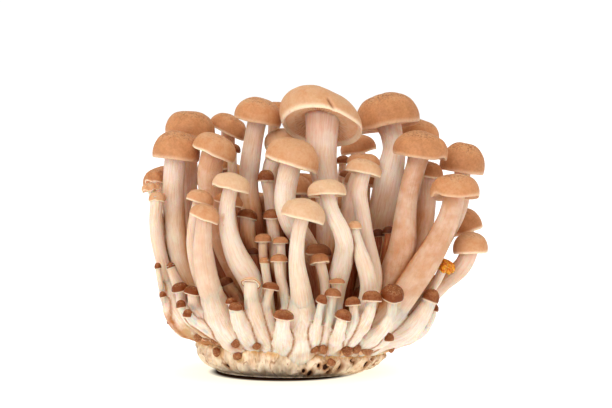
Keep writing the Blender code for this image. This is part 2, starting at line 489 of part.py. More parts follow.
def solid(name, rings, apex=None):
    """A closed mesh object through rings of points, each with as many; an apex closes the last."""
    sculpt = bmesh.new()
    loops = [[sculpt.verts.new(point * MM) for point in ring] for ring in rings]
    for lower, upper in zip(loops, loops[1:]):
        for k in range(len(lower)):
            following = (k + 1) % len(lower)
            sculpt.faces.new((lower[k], lower[following], upper[following], upper[k]))
    sculpt.faces.new(list(reversed(loops[0])))
    if apex is None:
        sculpt.faces.new(loops[-1])
    else:
        tip = sculpt.verts.new(apex * MM)
        for k in range(len(loops[-1])):
            sculpt.faces.new((loops[-1][k], loops[-1][(k + 1) % len(loops[-1])], tip))
    bmesh.ops.recalc_face_normals(sculpt, faces=sculpt.faces)
    bmesh.ops.triangulate(sculpt, faces=sculpt.faces)
    mesh = bpy.data.meshes.new(name)
    sculpt.to_mesh(mesh)
    sculpt.free()
    piece = bpy.data.objects.new(name, mesh)
    bpy.context.collection.objects.link(piece)
    return piece


def cap_solid(cap, stem_radius):
    """A domed cap with a rolled lip and gill ridges underneath, its middle flat over the stem."""
    width = cap.row.width
    sides, tops, gilled = next(detail for least, *detail in CAP_DETAIL if width >= least)
    socket = min((stem_radius + GAP) / cap.radius / math.cos(math.pi / sides), WIDEST_SOCKET)
    gill = GILL_RELIEF / cap.height if gilled else 0
    middle = (GILL_REACH + socket) / 2
    rings = [[(socket, UNDERSIDE_RISE)] * 2]
    if gilled:
        rings.append([(middle, GILL_RISE + gill), (middle, GILL_RISE - gill)])
        rings.append([(GILL_REACH, LIP_RISE)] * 2)
    rings.append([(LIP_REACH, LIP_DROP)] * 2)
    rings += [[(reach, dome_rise(reach))] * 2 for reach in tops]
    points = [[cap.point(math.tau * k / sides, *ring[k % 2]) for k in range(sides)] for ring in rings]
    return solid("cap_" + cap.row.name, points, cap.point(0, 0, 1))


def stem_solid(cap, path):
    """A stem as a tube, its last ring square to its cap where the cap is a piece of its own."""
    sides, count = next(detail for least, *detail in STEM_DETAIL if cap.row.width >= least)
    rings = []
    for number in range(count + 1):
        k = round(number / count * (len(path) - 1))
        place, radius = path[k]
        onward = path[min(k + 1, len(path) - 1)][0] - path[max(k - 1, 0)][0]
        if number == count:
            onward = cap.axis
        rings.append(turned_ring(place, onward.normalized(), radius, sides))
    return solid(cap.row.name, untwisted(rings))


def untwisted(rings):
    """The rings, each turned so that its points follow on from the ring before."""
    matched = [rings[0]]
    for ring in rings[1:]:
        sides = len(ring)
        before = matched[-1]
        shift = min(range(sides), key=lambda turn: sum((ring[(k + turn) % sides] - before[k]).length
                                                       for k in range(sides)))
        matched.append([ring[(k + shift) % sides] for k in range(sides)])
    return matched


def small_cap_solid(cap):
    """A small cap that its stem runs up into."""
    rings = [[cap.point(math.tau * k / SMALL_SIDES, reach, rise) for k in range(SMALL_SIDES)]
             for reach, rise in SMALL_CAP_RINGS]
    return solid(cap.row.name, rings, cap.point(0, 0, 1))


def pin_solid(place, outward, width):
    """A pin-sized mushroom: a short stem with its root inside, and a round head that nods outward."""
    axis = (outward + Vector((0, 0, PIN_NOD))).normalized()
    rings = [turned_ring(place + axis * width * along, axis, width * reach, PIN_SIDES)
             for along, reach in PIN_RINGS]
    return solid("pin", rings, place + axis * width * PIN_TIP)


def foot_reach(rise):
    """How far the fused feet reach across and back, at this height above the ring."""
    for (*low_reach, low), (*high_reach, high) in zip(FOOT_PROFILE, FOOT_PROFILE[1:]):
        if rise <= high:
            return Vector(low_reach).lerp(Vector(high_reach), (rise - low) / (high - low))


def foot_pins():
    """Pins on the fused feet, just over the ring: by hand in front, by rule behind."""
    chance = random.Random(SEED)
    spots = [(across, rise, width, -1) for across, rise, width in FOOT_PINS]
    for number in range(BACK_PINS):
        turn = math.pi * (number + 0.5) / BACK_PINS
        spots.append((PIN_REACH * math.cos(turn), chance.uniform(*BACK_PIN_RISE), chance.uniform(*BACK_PIN_WIDTH), 1))
    pins = []
    for across, rise, width, way in spots:
        wide, deep = foot_reach(rise)
        back = way * deep * math.sqrt(1 - (across / wide) ** 2)
        place = Vector((across, back, ring_height(across) + rise))
        outward = Vector((place.x, place.y, 0)).normalized()
        pins.append(pin_solid(place, outward, width))
    return pins


def foot_solid():
    """The body of fused feet that every stem rises out of."""
    rings = []
    for wide, deep, rise in FOOT_PROFILE:
        turns = [math.tau * k / FOOT_SIDES for k in range(FOOT_SIDES)]
        rings.append([Vector((wide * math.cos(turn), deep * math.sin(turn),
                              ring_height(wide * math.cos(turn)) + rise)) for turn in turns])
    return solid("feet", rings)


def block_solid():
    """The cut block, its side in upright folds, its top along the slanting ring."""
    rings = []
    for radius, share in BLOCK_PROFILE:
        ring = []
        for k in range(BLOCK_SIDES):
            turn = math.tau * k / BLOCK_SIDES
            fold = sum(math.sin(waves * turn + start) for waves, start in FOLD_WAVES) / len(FOLD_WAVES)
            fold += FOLD_TEETH if k % 2 else -FOLD_TEETH
            reach = radius + BLOCK_FOLD * share ** 0.5 * fold
            across = reach * math.cos(turn)
            ring.append(Vector((across, reach * math.sin(turn), share * ring_height(across))))
        rings.append(ring)
    return solid("mycelium_block", rings)


def block_pins():
    """A few pins low on the block's side."""
    pins = []
    for across, rise, width in BLOCK_PINS:
        place = Vector((across, -math.sqrt(BLOCK_PROFILE[-2][0] ** 2 - across ** 2), ring_height(across) + rise))
        pins.append(pin_solid(place, Vector((place.x, place.y, 0)).normalized(), width))
    return pins


def ring_cutter():
    """A slab whose top is the ring's plane, for cutting the feet off level with it."""
    corners = [(CUTTER_REACH * across, CUTTER_REACH * back) for across, back in ((-1, -1), (1, -1), (1, 1), (-1, 1))]
    low = [Vector((across, back, CUTTER_LOW)) for across, back in corners]
    high = [Vector((across, back, ring_height(across) + GAP)) for across, back in corners]
    return solid("ring_cutter", [low, high])


def fused(name, pieces):
    """One solid made of pieces that run into each other."""
    body, *others = pieces
    combine(body, others, "UNION")
    body.name = name
    return body


def cut(body, cutters):
    """Take the cutters' shapes out of a body."""
    combine(body, cutters, "DIFFERENCE")


def combine(body, others, operation):
    """Join the others to a body, or take them out of it, and leave only the body."""
    group = bpy.data.collections.new(operation)
    for other in others:
        group.objects.link(other)
    boolean = body.modifiers.new(operation, "BOOLEAN")
    boolean.operation = operation
    boolean.operand_type = "COLLECTION"
    boolean.collection = group
    boolean.solver = SOLVER
    apply_modifiers(body)
    for other in others:
        bpy.data.objects.remove(other)
    bpy.data.collections.remove(group)


def grown_copy(piece):
    """A copy of a cap, larger all round, as a cutter for the stem's seat under it."""
    larger = piece.copy()
    larger.data = piece.data.copy()
    for vertex in larger.data.vertices:
        vertex.co += vertex.normal * SEAT_SHARE * GAP * MM
    return larger


def apply_modifiers(piece):
    """Replace a piece's mesh with what its modifiers make of it."""
    shaped = piece.evaluated_get(bpy.context.evaluated_depsgraph_get())
    mesh = bpy.data.meshes.new_from_object(shaped)
    piece.modifiers.clear()
    piece.data = mesh


def drop_crumbs(body):
    """Keep only the largest connected part of a body, without the crumbs that its cuts leave loose."""
    sculpt = bmesh.new()
    sculpt.from_mesh(body.data)
    waiting = set(sculpt.verts)
    parts = []
    while waiting:
        part = {waiting.pop()}
        edge_of_part = list(part)
        while edge_of_part:
            vert = edge_of_part.pop()
            near = {edge.other_vert(vert) for edge in vert.link_edges} - part
            part |= near
            edge_of_part += near
        waiting -= part
        parts.append(part)
    largest = max(parts, key=len)
    bmesh.ops.delete(sculpt, geom=[vert for vert in sculpt.verts if vert not in largest], context="VERTS")
    sculpt.to_mesh(body.data)
    sculpt.free()


def material(name, colour, roughness):
    """A plain material in this colour."""
    surface = bpy.data.materials.new(name)
    surface.use_nodes = True
    shader = surface.node_tree.nodes["Principled BSDF"]
    shader.inputs["Base Color"].default_value = (*colour, 1)
    shader.inputs["Roughness"].default_value = roughness
    shader.inputs["Metallic"].default_value = 0
    return surface


def dress(piece, surface):
    """Give a piece its material, and shade it smooth."""
    piece.data.materials.clear()
    piece.data.materials.append(surface)
    piece.data.shade_smooth()
    piece.data.set_sharp_from_angle(angle=math.radians(SMOOTH_ANGLE))


def build():
    for old in list(bpy.data.objects):
        bpy.data.objects.remove(old)
    skin = material("cap_skin", *CAP_SKIN)
    flesh = material("stem_flesh", *STEM_FLESH)
    mycelium = material("mycelium", *MYCELIUM)

    caps = settled(list(FRONT) + back_mushrooms())
    widest = sorted(caps, key=lambda cap: cap.row.width, reverse=True)[:CAP_NODES]
    mass = [foot_solid(), *foot_pins()]
    sockets = []
    for cap in caps:
        path = bent_clear(stem_path(cap), cap, caps)
        if cap in widest:
            piece = cap_solid(cap, path[-1][1])
            dress(piece, skin)
            sockets.append(grown_copy(piece))
        else:
            path.append((cap.point(0, 0, SMALL_STEM_TOP), path[-1][1]))
            mass.append(small_cap_solid(cap))
        mass.append(stem_solid(cap, path))
    stems = fused("stem_mass", mass)
    cut(stems, [ring_cutter(), *sockets])
    drop_crumbs(stems)
    dress(stems, flesh)
    dress(fused("mycelium_block", [block_solid(), *block_pins()]), mycelium)


build()
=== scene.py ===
"""The finished look of the beech mushroom cluster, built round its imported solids.

Lengths are millimetres until a mesh is made. +X is across, +Y is away from the front, +Z is up, and the
origin is the middle of the block's flat underside. The rows of mushrooms and the rules that place them are
the same as the solids' own, so every cap and stem lies where its solid is.
"""

import math
import random
from collections import namedtuple

import bpy
import numpy as np
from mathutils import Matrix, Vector


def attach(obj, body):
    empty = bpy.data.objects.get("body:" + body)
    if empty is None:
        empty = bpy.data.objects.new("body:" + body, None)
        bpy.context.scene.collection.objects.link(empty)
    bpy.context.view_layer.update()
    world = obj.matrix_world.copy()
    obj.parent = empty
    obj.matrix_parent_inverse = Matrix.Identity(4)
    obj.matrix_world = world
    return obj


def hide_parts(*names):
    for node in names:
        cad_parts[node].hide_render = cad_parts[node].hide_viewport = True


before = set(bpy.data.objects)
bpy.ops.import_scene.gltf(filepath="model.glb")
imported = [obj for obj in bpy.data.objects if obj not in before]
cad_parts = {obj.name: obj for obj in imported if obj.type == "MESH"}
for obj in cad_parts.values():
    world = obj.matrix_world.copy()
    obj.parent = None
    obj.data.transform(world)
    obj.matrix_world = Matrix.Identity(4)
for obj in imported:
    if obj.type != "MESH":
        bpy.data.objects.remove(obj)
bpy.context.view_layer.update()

# Metres in a millimetre, the room left between a cap and what is next to it, and the seed of every draw.
MM = 0.001
GAP = 0.3
SEED = 17

# The front of the cluster is laid out as an eye before it sees it, on the upright plane through the origin.
EYE_DISTANCE = 900
EYE_HEIGHT = 102
EYE_ACROSS = 5

# The cut block, up its side: (radius, share of the height of the slanting ring where the stems begin).
RING_HEIGHT = 9.0
RING_SLOPE = -0.073
BLOCK_PROFILE = ((23, 0), (26, 0.07), (29.2, 0.26), (31.2, 0.52), (32, 0.8), (31.2, 1))

# The fused feet: (reach across, reach back, height above the ring). Each stem's root lies inside them.
FOOT_PROFILE = ((30.5, 30.5, -1), (35.5, 32.5, 1.5), (39, 34.3, 4.5), (41, 34.5, 8),
                (38, 32, 11), (28, 25, 13))
ROOT_PULL = 0.75
ROOT_RISE = 4
ROOT_DROP = 2

# Shares of a cap's height: where it is widest, the gills' inner and outer ends, and the lip's lowest point.
RIM_RISE = 0.15
UNDERSIDE_RISE = 0.22
LIP_RISE = 0.03
LIP_DROP = -0.07
# Shares of its radius: the lip's lowest point, and the gills' outer ends.
LIP_REACH = 0.96
GILL_REACH = 0.9
# How far the top of a lopsided cap leans across, as a share of its radius.
LEANS = {"crown": -0.28}

Mushroom = namedtuple("Mushroom", "name cap depth width dome tilt foot_depth stem")

# name, cap centre (across, up), its depth, cap width, dome height, cap tilt (to the right, to the back),
# the foot's depth, and down the stem (across, up, width)
FRONT = tuple(Mushroom(*row) for row in (
    ("crown", (10.5, 84.4), -8, 28.5, 12.8, (9, 29.5), -4, ((10, 79, 11.2), (10.7, 72.5, 10),
     (12, 65.5, 9), (12.5, 55, 7.5), (12, 38.5, 7.5), (9, 18, 8))),
    ("right_high", (33.7, 84.4), 8, 22.3, 11.2, (-10.5, 7), 0, ((34.5, 83, 8), (35.5, 77, 7.5),
     (33.7, 68.5, 9.2), (31.2, 55, 9.5), (29, 42, 9), (24, 20, 8))),
    ("right_shade", (44, 80), 24, 14, 6.5, (14, 0), 12, ((43.5, 79, 5.5), (42, 67, 5.5), (39, 51, 6),
     (33.5, 33.5, 6.5), (24.5, 16, 6.5))),
    ("right_broad", (44.5, 74), -14, 19, 8.5, (8, 0), -12, ((43, 72.5, 7), (41, 63, 7), (39.5, 55, 7.5),
     (38.5, 42.5, 9.5), (35.5, 32, 11.5), (30, 21.5, 9.5), (22.5, 12, 8))),
    ("right_behind", (47.2, 66.8), -2, 10.5, 5.2, (6, 2), -4, ((46.9, 65.4, 6), (46.6, 55, 6.5),
     (45, 46.5, 7), (40.5, 34, 7), (31, 19, 6.5))),
    ("right_dome", (58.8, 69), 0, 15.6, 9.6, (8, 0), -6, ((59, 68, 5.5), (58.4, 58, 5.5),
     (53.8, 47.5, 5.5), (47.5, 36, 6), (39.5, 25, 6.5), (29, 13.5, 6.5))),
    ("right_low", (56.7, 60), -20, 17.5, 7.7, (-2, 6), -16, ((57, 58.5, 7.5), (54.7, 53, 7.5),
     (51.2, 45.5, 8.5), (46.7, 38, 9.5), (41.2, 29.5, 9.8), (34.6, 20.5, 9.5), (26, 12, 8))),
    ("right_leaning", (60.8, 48.2), 4, 11.5, 7.8, (-18, 0), -4, ((62, 46.5, 4), (62.5, 42, 4),
     (57.5, 34.5, 4), (49.5, 26.5, 5), (38, 17.5, 5.5), (28.5, 12, 5))),
    ("right_outer", (62, 41), -8, 12, 6.7, (-2, 0), -12, ((61.3, 40.5, 6), (59.7, 36.5, 6),
     (56.7, 33.3, 6.5), (52.5, 30, 6.5), (47.5, 26.3, 6.5), (40, 19, 6.5), (32.5, 12, 5.5))),
    ("amber", (52.5, 34.8), -14, 7, 3.7, (18, -10), -16, ((52.5, 33.5, 3), (49.5, 29, 3), (43, 21.5, 3),
     (35, 13.5, 3))),
    ("amber_chip", (49, 31), -9, 3.2, 2.0, (-10, 0), -10, ((48.8, 30, 2), (46, 26.5, 3), (41, 20, 3.5),
     (34, 13, 4))),
    ("right_button", (48, 24), -18, 6, 4.2, (20, 0), -16, ((47.2, 23, 5), (45, 18, 5.5), (40.5, 13, 5.5),
     (34, 10.5, 5))),
    ("right_clump", (49.4, 20.5), -10, 3.2, 2.4, (10, 0), -10, ((49.2, 19.5, 2), (47.3, 15.8, 3),
     (43.5, 12.8, 4), (36, 10.5, 4.5))),
    ("front_oval", (35, 25.5), -38, 8, 4.1, (12, -31), -25, ((35, 23, 3), (34.5, 18.5, 3.5),
     (31, 13.5, 4), (25, 9, 4))),
    ("button_a", (28, 24), -38, 7, 3.5, (3, 3), -26, ((27.5, 23, 3.5), (27, 18.5, 4), (23.5, 13.5, 4),
     (19, 9, 4))),
    ("button_b", (21.5, 22.5), -40, 5.5, 2.9, (-5, 3), -27, ((22.5, 22, 3), (22, 18, 3), (19.5, 13, 3),
     (16, 8.5, 3))),
    ("button_c", (18, 18), -44, 6, 3.1, (18, -10), -28, ((17.5, 17, 3), (16.5, 12.5, 3.5), (15, 8, 3.5))),
    ("button_d", (14.5, 25.5), -42, 6, 2.8, (3, 3), -28, ((15, 25, 3), (13.5, 19, 3), (12, 13, 3),
     (10, 8, 3))),
    ("button_e", (16, 30), -36, 5.5, 1.8, (0, 2), -27, ((16, 29.5, 3), (16.5, 25, 3), (16, 18.5, 3),
     (13, 11, 3))),
    ("button_f", (10.5, 23.5), -42, 4, 2.7, (20, -10), -29, ((10.5, 22.5, 2.5), (9.5, 17.5, 2.5),
     (8.5, 12.5, 3), (7.5, 8, 3))),
    ("mid_grey", (10, 37), -34, 7, 3.4, (-8, 10), -25, ((9.5, 36, 3.5), (11.5, 32, 3.5), (12, 26.5, 3.5),
     (11.5, 19, 3.5), (9, 12, 3.5))),
    ("mid_shade", (9.5, 40), -26, 9, 3.7, (5, 0), -20, ((9.5, 38.5, 4), (11, 32, 4), (11.5, 22.5, 4),
     (9.5, 12.5, 4))),
    ("front_tall", (4, 52.5), -42, 15.5, 6.9, (14, 3), -29, ((3.5, 51, 5), (2.5, 46, 5), (2, 38.5, 5.5),
     (3, 30.5, 7), (4, 22.5, 8), (3.4, 15, 10), (3.2, 8, 9))),
    ("front_curved", (12.5, 60.5), -35, 13.5, 5.4, (-2, 8), -24, ((13, 59.5, 5), (14.5, 54, 5.5),
     (17.5, 48.5, 6), (18.5, 43, 6.5), (17.5, 36, 7.5), (15.5, 28, 7), (14, 19, 6.5), (12, 11, 5.5))),
    ("right_mid", (25, 68), -22, 12.5, 4.9, (12, 6), -20, ((24, 67, 5), (23.5, 61.5, 5.5),
     (24.5, 55, 5.5), (26, 46.5, 5), (28, 38.5, 5), (29, 29.5, 5.5), (25, 19, 5.5), (19.5, 11, 5.5))),
    ("right_mid_back", (25, 71), -8, 11.5, 3.9, (5, 0), -8, ((23, 69.5, 5), (22, 63, 5.5), (20, 53, 6.5),
     (19, 42, 6.5), (18, 26.5, 6.5), (14.5, 13.5, 6.5))),
    ("pale_button", (22, 49), -34, 5, 2.6, (0, 4), -25, ((22, 48, 2.5), (23.5, 42, 4.5), (26, 34.5, 6),
     (27, 28, 6), (24.5, 19, 5.5), (18, 10, 5))),
    ("deep_a", (34, 47.3), -10, 4.6, 2.4, (0, 3), -10, ((34, 46.4, 3), (32.5, 38, 3.5), (27.5, 25, 4),
     (19, 13.5, 4.5))),
    ("deep_b", (30.2, 46.2), -9, 4.6, 2.6, (-6, 3), -9, ((30.2, 45.4, 3), (28.5, 37, 3.5), (24, 24, 4),
     (16, 13.5, 4.5))),
    ("right_back", (23.5, 75.5), 26, 12.5, 5.7, (-12, 0), 14, ((24, 74.5, 5), (22.5, 63, 5),
     (20.5, 46.5, 5.5), (18, 30.5, 5.5), (14.5, 14.5, 5.5))),
    ("behind_a", (18, 71.5), 20, 5, 2.6, (0, 0), 14, ((18, 70.5, 2.5), (17, 61.5, 2.5), (15.5, 42.5, 3),
     (12, 18.5, 3.5))),
    ("behind_b", (19, 66.5), 12, 5, 2.4, (15, 0), 10, ((19, 66, 2.5), (18.5, 55, 2.5), (16, 38.5, 3),
     (13, 18.5, 3.5))),
    ("left_centre", (0, 71), -26, 19, 9.1, (17, 3), -4, ((-1, 69, 7.5), (-1.5, 64, 7.5), (-2, 58, 7.5),
     (1, 50, 8), (6.5, 41, 7.5), (10, 30.5, 7), (9, 20.5, 7), (6.5, 12, 6.5))),
    ("left_centre_back", (-3, 78), -4, 12, 5.3, (-15, 10), -2, ((-6.5, 77, 5.5), (-7.5, 68.5, 5),
     (-6.5, 58, 5), (-5, 42.5, 5.5), (-1.5, 26.5, 6), (0, 13.5, 6))),
    ("high_left", (-11.5, 86), -6, 16.5, 8.0, (12, 0), -2, ((-12, 84.5, 6.5), (-13, 78.5, 6.5),
     (-14, 71, 7), (-14.5, 64, 6.5), (-13.5, 55, 7), (-11.5, 45, 7), (-7.5, 32, 7), (-3, 16, 6.5))),
    ("high_back", (-5.5, 86.5), 14, 10, 6.1, (10, 0), 8, ((-5.5, 85.5, 4), (-6.5, 71, 4), (-5.5, 51, 5),
     (-3, 30.5, 5.5), (-1, 14.5, 5.5))),
    ("left_back", (-22, 82.5), 16, 13.5, 5.7, (25, -4), 8, ((-22.5, 81, 5), (-21.5, 75, 5),
     (-20.5, 63, 5.5), (-17, 42.5, 6), (-11.5, 26.5, 6.5), (-5, 14.5, 6.5))),
    ("left_peek", (-20, 75.5), 8, 5.5, 2.8, (10, 0), 6, ((-20.5, 74.5, 3), (-19.5, 63, 3.5),
     (-16, 42.5, 4), (-11.5, 26.5, 4.5), (-5, 14.5, 4.5))),
    ("left_slant", (-26.8, 74.8), -14, 15.5, 6.9, (24, 0), -10, ((-27.7, 73.8, 8), (-28, 68.5, 8.5),
     (-27.5, 61.5, 8), (-25.5, 51.5, 7), (-23.5, 42.5, 6), (-19.5, 33, 5.5), (-14.5, 24, 6),
     (-9.5, 14.5, 6.5))),
    ("far_left_back", (-34.8, 81.1), 6, 17.2, 8.3, (10, 0), 2, ((-34.5, 80, 5), (-34.5, 71, 5),
     (-34.5, 61.5, 5), (-33.5, 46.5, 5.5), (-28.5, 33, 6), (-20.5, 21.5, 6), (-12, 13.5, 6))),
    ("far_left", (-39.5, 73.5), -12, 16.5, 9.1, (6, 0), -10, ((-40, 72, 7.5), (-40.5, 63, 7.5),
     (-40.2, 53, 7.5), (-39.5, 45, 7.5), (-38, 38, 7), (-35, 31.5, 6.5), (-28.5, 22.5, 6.5),
     (-18, 13.5, 7))),
    ("edge_a", (-46, 65), 0, 8, 4.2, (-5, 0), -4, ((-45, 64, 3.5), (-43, 55, 3.5), (-42, 42.5, 3.5),
     (-38, 30.5, 4), (-28.5, 18.5, 4.5), (-19.5, 12.5, 4.5))),
    ("edge_b", (-48, 62), -8, 6, 2.8, (-12, 4), -10, ((-47.5, 61, 2.5), (-46, 56, 3), (-44, 45, 3.5),
     (-41, 33, 4), (-36, 22, 4.5), (-29, 13, 4.5))),
    ("edge_low", (-46, 58.5), -13, 5.6, 3.2, (2, 6), -15, ((-46, 57.5, 4.5), (-46.5, 52, 4.5),
     (-46, 45, 4.5), (-44, 36, 4.5), (-41.5, 25, 5), (-38, 17.5, 5), (-31.5, 13, 5))),
    ("edge_stub", (-41.2, 35.5), -20, 3.2, 1.8, (-20, 0), -16, ((-41, 34.5, 2.8), (-39.5, 31, 4),
     (-37, 26, 4.6), (-33, 19.5, 4.6), (-27, 13, 4.5))),
    ("edge_pin_a", (-45.7, 35.2), -18, 2.4, 2.0, (-8, 0), -15, ((-45.6, 34.5, 1.8), (-45, 30, 2),
     (-43.6, 24, 2.6), (-40, 17, 3.8), (-31, 12.5, 4.5))),
    ("edge_pin_b", (-44, 25.3), -18, 2.4, 2.0, (-12, 0), -15, ((-43.8, 24.5, 1.8), (-42.4, 20, 2.6),
     (-40, 16.5, 3.6), (-35, 13.5, 4.2), (-28, 12, 4.5))),
    ("edge_pin_c", (-41.4, 16.3), -14, 2.4, 1.8, (-24, 0), -13, ((-41, 15.6, 1.8), (-38.5, 13.8, 3),
     (-30, 12, 4.5))),
    ("front_left_mid", (-20.7, 62.6), -33, 13.4, 5.5, (13, 4), -24, ((-21.5, 61.5, 5), (-22, 56.5, 5.5),
     (-22, 51, 6), (-20.5, 44.5, 7), (-18, 38, 8), (-14, 31.5, 8.5), (-11.5, 24, 7.5), (-9, 16.5, 7.5),
     (-6.5, 10, 6.5))),
    ("left_mid_behind", (-21.5, 57.6), -22, 10, 3.6, (15, 0), -16, ((-21.5, 56.6, 4), (-20.5, 50, 4.5),
     (-18.5, 40, 5), (-14.5, 27, 5), (-9.5, 14.5, 5.5))),
    ("left_low_back", (-31.5, 58), -29, 9.5, 4.4, (18, 5), -20, ((-32, 56.5, 4.5), (-33.5, 50.5, 4),
     (-34, 42.5, 4), (-32.5, 34.5, 4), (-29, 25.5, 4.5), (-22.5, 16, 5), (-16, 11, 5))),
    ("left_low", (-30, 52.5), -38, 10.6, 4.9, (22, 0), -25, ((-29.7, 51, 5), (-30.2, 45, 6.3),
     (-30.1, 38.5, 7.3), (-28.8, 31.5, 8), (-26.5, 24.5, 8), (-23.5, 16.5, 8), (-18, 10, 7.5))),
    ("dark_left", (-15, 52.5), -18, 7, 3.2, (12, 6), -14, ((-14.5, 51.5, 5), (-14.5, 45, 5),
     (-12.5, 38.5, 5), (-9.5, 30.5, 5), (-5.5, 16, 5.5))),
    ("dark_mid", (-6.5, 52.5), -24, 6, 3.2, (0, 0), -18, ((-6, 51.5, 4), (-5.5, 45, 4), (-5, 34.5, 4.5),
     (-2.5, 16, 5))),
    ("dark_high", (-8.5, 65.5), -8, 6, 3.7, (0, 0), -6, ((-8, 64.5, 4), (-7, 57.5, 4), (-5.5, 42.5, 4.5),
     (-2.5, 22.5, 5), (0, 13.5, 5))),
    ("small_a", (-9.5, 44.5), -27, 6, 2.7, (0, 0), -22, ((-9.5, 44, 3), (-9.5, 38.5, 3), (-8, 30.5, 3),
     (-5.5, 14.5, 3.5))),
    ("small_b", (-3.5, 44), -30, 5.5, 2.1, (0, 0), -24, ((-3, 43.5, 3), (-3, 36, 3), (-3, 26.5, 3.5),
     (-2, 13.5, 3.5))),
    ("small_c", (-9, 37), -33, 3.5, 2.1, (0, 0), -26, ((-8, 36.5, 3), (-8, 30.5, 3), (-7, 22.5, 3),
     (-5, 12, 3.5))),
    ("small_d", (-4, 37.5), -36, 6, 2.6, (0, 4), -27, ((-4, 37, 3.5), (-3.5, 32, 3.5), (-2, 26.5, 3.5),
     (-1.5, 20, 3.5), (-2, 11, 4))),
    ("small_e", (-13, 40), -24, 4, 2.3, (0, 0), -20, ((-12, 39, 2.5), (-11, 32, 2.5), (-8, 22.5, 3),
     (-5.5, 14.5, 3))),
    ("small_f", (-7, 28), -39, 6, 2.4, (10, 3), -28, ((-8, 27.5, 3), (-8.5, 22.5, 3), (-7.5, 16, 3.5),
     (-5.5, 10, 3.5))),
    ("torn", (-13.8, 29.6), -42, 7, 1.9, (13, 32), -28, ((-14, 28.5, 4.5), (-13.5, 22.5, 5),
     (-11.5, 16, 5), (-8, 10, 5))),
    ("small_g", (-22, 29.5), -24, 5, 2.8, (-24, 0), -22, ((-20.5, 28.5, 4), (-18, 24, 4),
     (-14.5, 17.5, 4), (-9.5, 11, 4.5))),
    ("small_h", (-20.5, 23), -38, 4, 2.1, (-5, 0), -27, ((-20, 22.5, 2.5), (-18.5, 17.5, 3),
     (-13, 11, 3))),
    ("small_i", (-19, 21), -43, 5, 2.4, (5, -8), -28, ((-19, 20.5, 3.5), (-17.5, 16, 4.5), (-13, 10, 5))),
    ("small_j", (-2.5, 18), -45, 7, 2.9, (8, -6), -30, ((-3, 17, 4), (-3, 12.5, 4.5), (-2.5, 8, 4.5))),
    ("dark_pair_a", (-38, 27.5), -26, 6, 2.8, (-12, -4), -20, ((-38.5, 27, 3), (-37, 20.5, 3.5),
     (-31, 15, 4), (-21, 10, 4))),
    ("dark_pair_b", (-34, 26.5), -31, 6, 2.6, (10, -4), -22, ((-34.5, 25.5, 3.5), (-32, 20, 4),
     (-26, 14.5, 4.5), (-18, 10, 4.5))),
    ("low_left_a", (-37.7, 21.7), -28, 3.5, 2.6, (-10, 0), -21, ((-37, 21.2, 2.5), (-33.5, 17, 2.5),
     (-22.5, 10, 3))),
    ("low_left_b", (-35.5, 18.5), -31, 3.5, 2.6, (0, -5), -22, ((-35, 18, 2.5), (-30, 14.5, 2.5),
     (-20.5, 9.5, 3))),
    ("right_pin", (33.5, 10.5), -27, 4.5, 2.4, (5, -10), -22, ((33, 10, 3), (29, 8.5, 3), (24.5, 8, 3))),
))

# Behind, rings of mushrooms close the cluster: how many, from and to which angle round the block, the foot's
# and the cap's distance from the middle, the cap's height, its width, and the stem's width
Ring = namedtuple("Ring", "name count first last foot reach rise width stem")
BACK_RINGS = (
    Ring("back_outer", 8, 10, 170, 26, 44, 57, 14.0, 6.5),
    Ring("back_inner", 6, 20, 160, 16, 27, 65, 12.5, 6.5),
    Ring("back_heart", 3, 25, 130, 7, 10, 60, 12.5, 6.5),
    Ring("back_low", 6, 20, 157, 29, 42.5, 35, 8.0, 5.0),
    Ring("back_button", 6, 6, 174, 30, 42, 22, 6.0, 4.0),
)
HEIGHT_SPREAD = 0.13
WIDTH_SPREAD = 0.18
TURN_SPREAD = 0.25
REACH_SPREAD = 0.06
DOME_OF_WIDTH = 0.46
BACK_TILT = 16
LEAST_TILT = 0.2
BACK_STATIONS = (0.97, 0.75, 0.5, 0.25, 0)
ROOT_WIDTH = 1.15
STEM_TAPER = 0.3
# The heads behind stay low where the front lets daylight through, just right of the crown.
NOTCH_ACROSS = 20
NOTCH_WIDTH = 9
NOTCH_DROP = 13

# Pin-sized mushrooms: (across, height above the ring, cap width), on the feet and on the block's side.
FOOT_PINS = ((-30, 2.2, 3.6), (-27.5, 2.4, 2.8), (-24.5, 1.8, 3.0), (-17.7, 2.3, 4.0), (-11, 1.9, 3.2),
             (3.4, 1.9, 3.6), (7.6, 2.1, 3.2), (10.6, 2.0, 3.2), (18.3, 2.1, 4.2), (21.4, 2.6, 3.6),
             (24.8, 2.3, 4.6), (33.5, 1.6, 2.6))
BLOCK_PINS = ((-24.2, -2.6, 3.0), (-17.3, -2.8, 2.8), (13.5, -2.4, 2.6))
BACK_PINS = 8
PIN_REACH = 31
BACK_PIN_RISE = (1.8, 3.4)
BACK_PIN_WIDTH = (2.8, 4.2)

# How bun-shaped a cap's top is, and the room its lip takes below its rim, as a share of its height.
DOME_POWER = 2.4
LIP_ROOM = 0.12
# Trying caps against each other, and moving those that touch apart in depth, a step at a time.
OUTLINE_SIDES = 12
OUTLINE_REACHES = (1, 0.85, 0.5)
TOUCHING = 1.02
SETTLE_ROUNDS = 60
SETTLE_STEP = 0.45
# Bending stems clear of other mushrooms' caps in the same way.
BEND_ROUNDS = 60
BEND_STEP = 0.9
BEND_SOFTENING = 12
BEND_REACH = 8
CLEARANCE = 1.3
# How soon a stem, going up, leaves the depth of its foot for that of its cap.
FLARE = 2.2
STEM_SAMPLES = 24

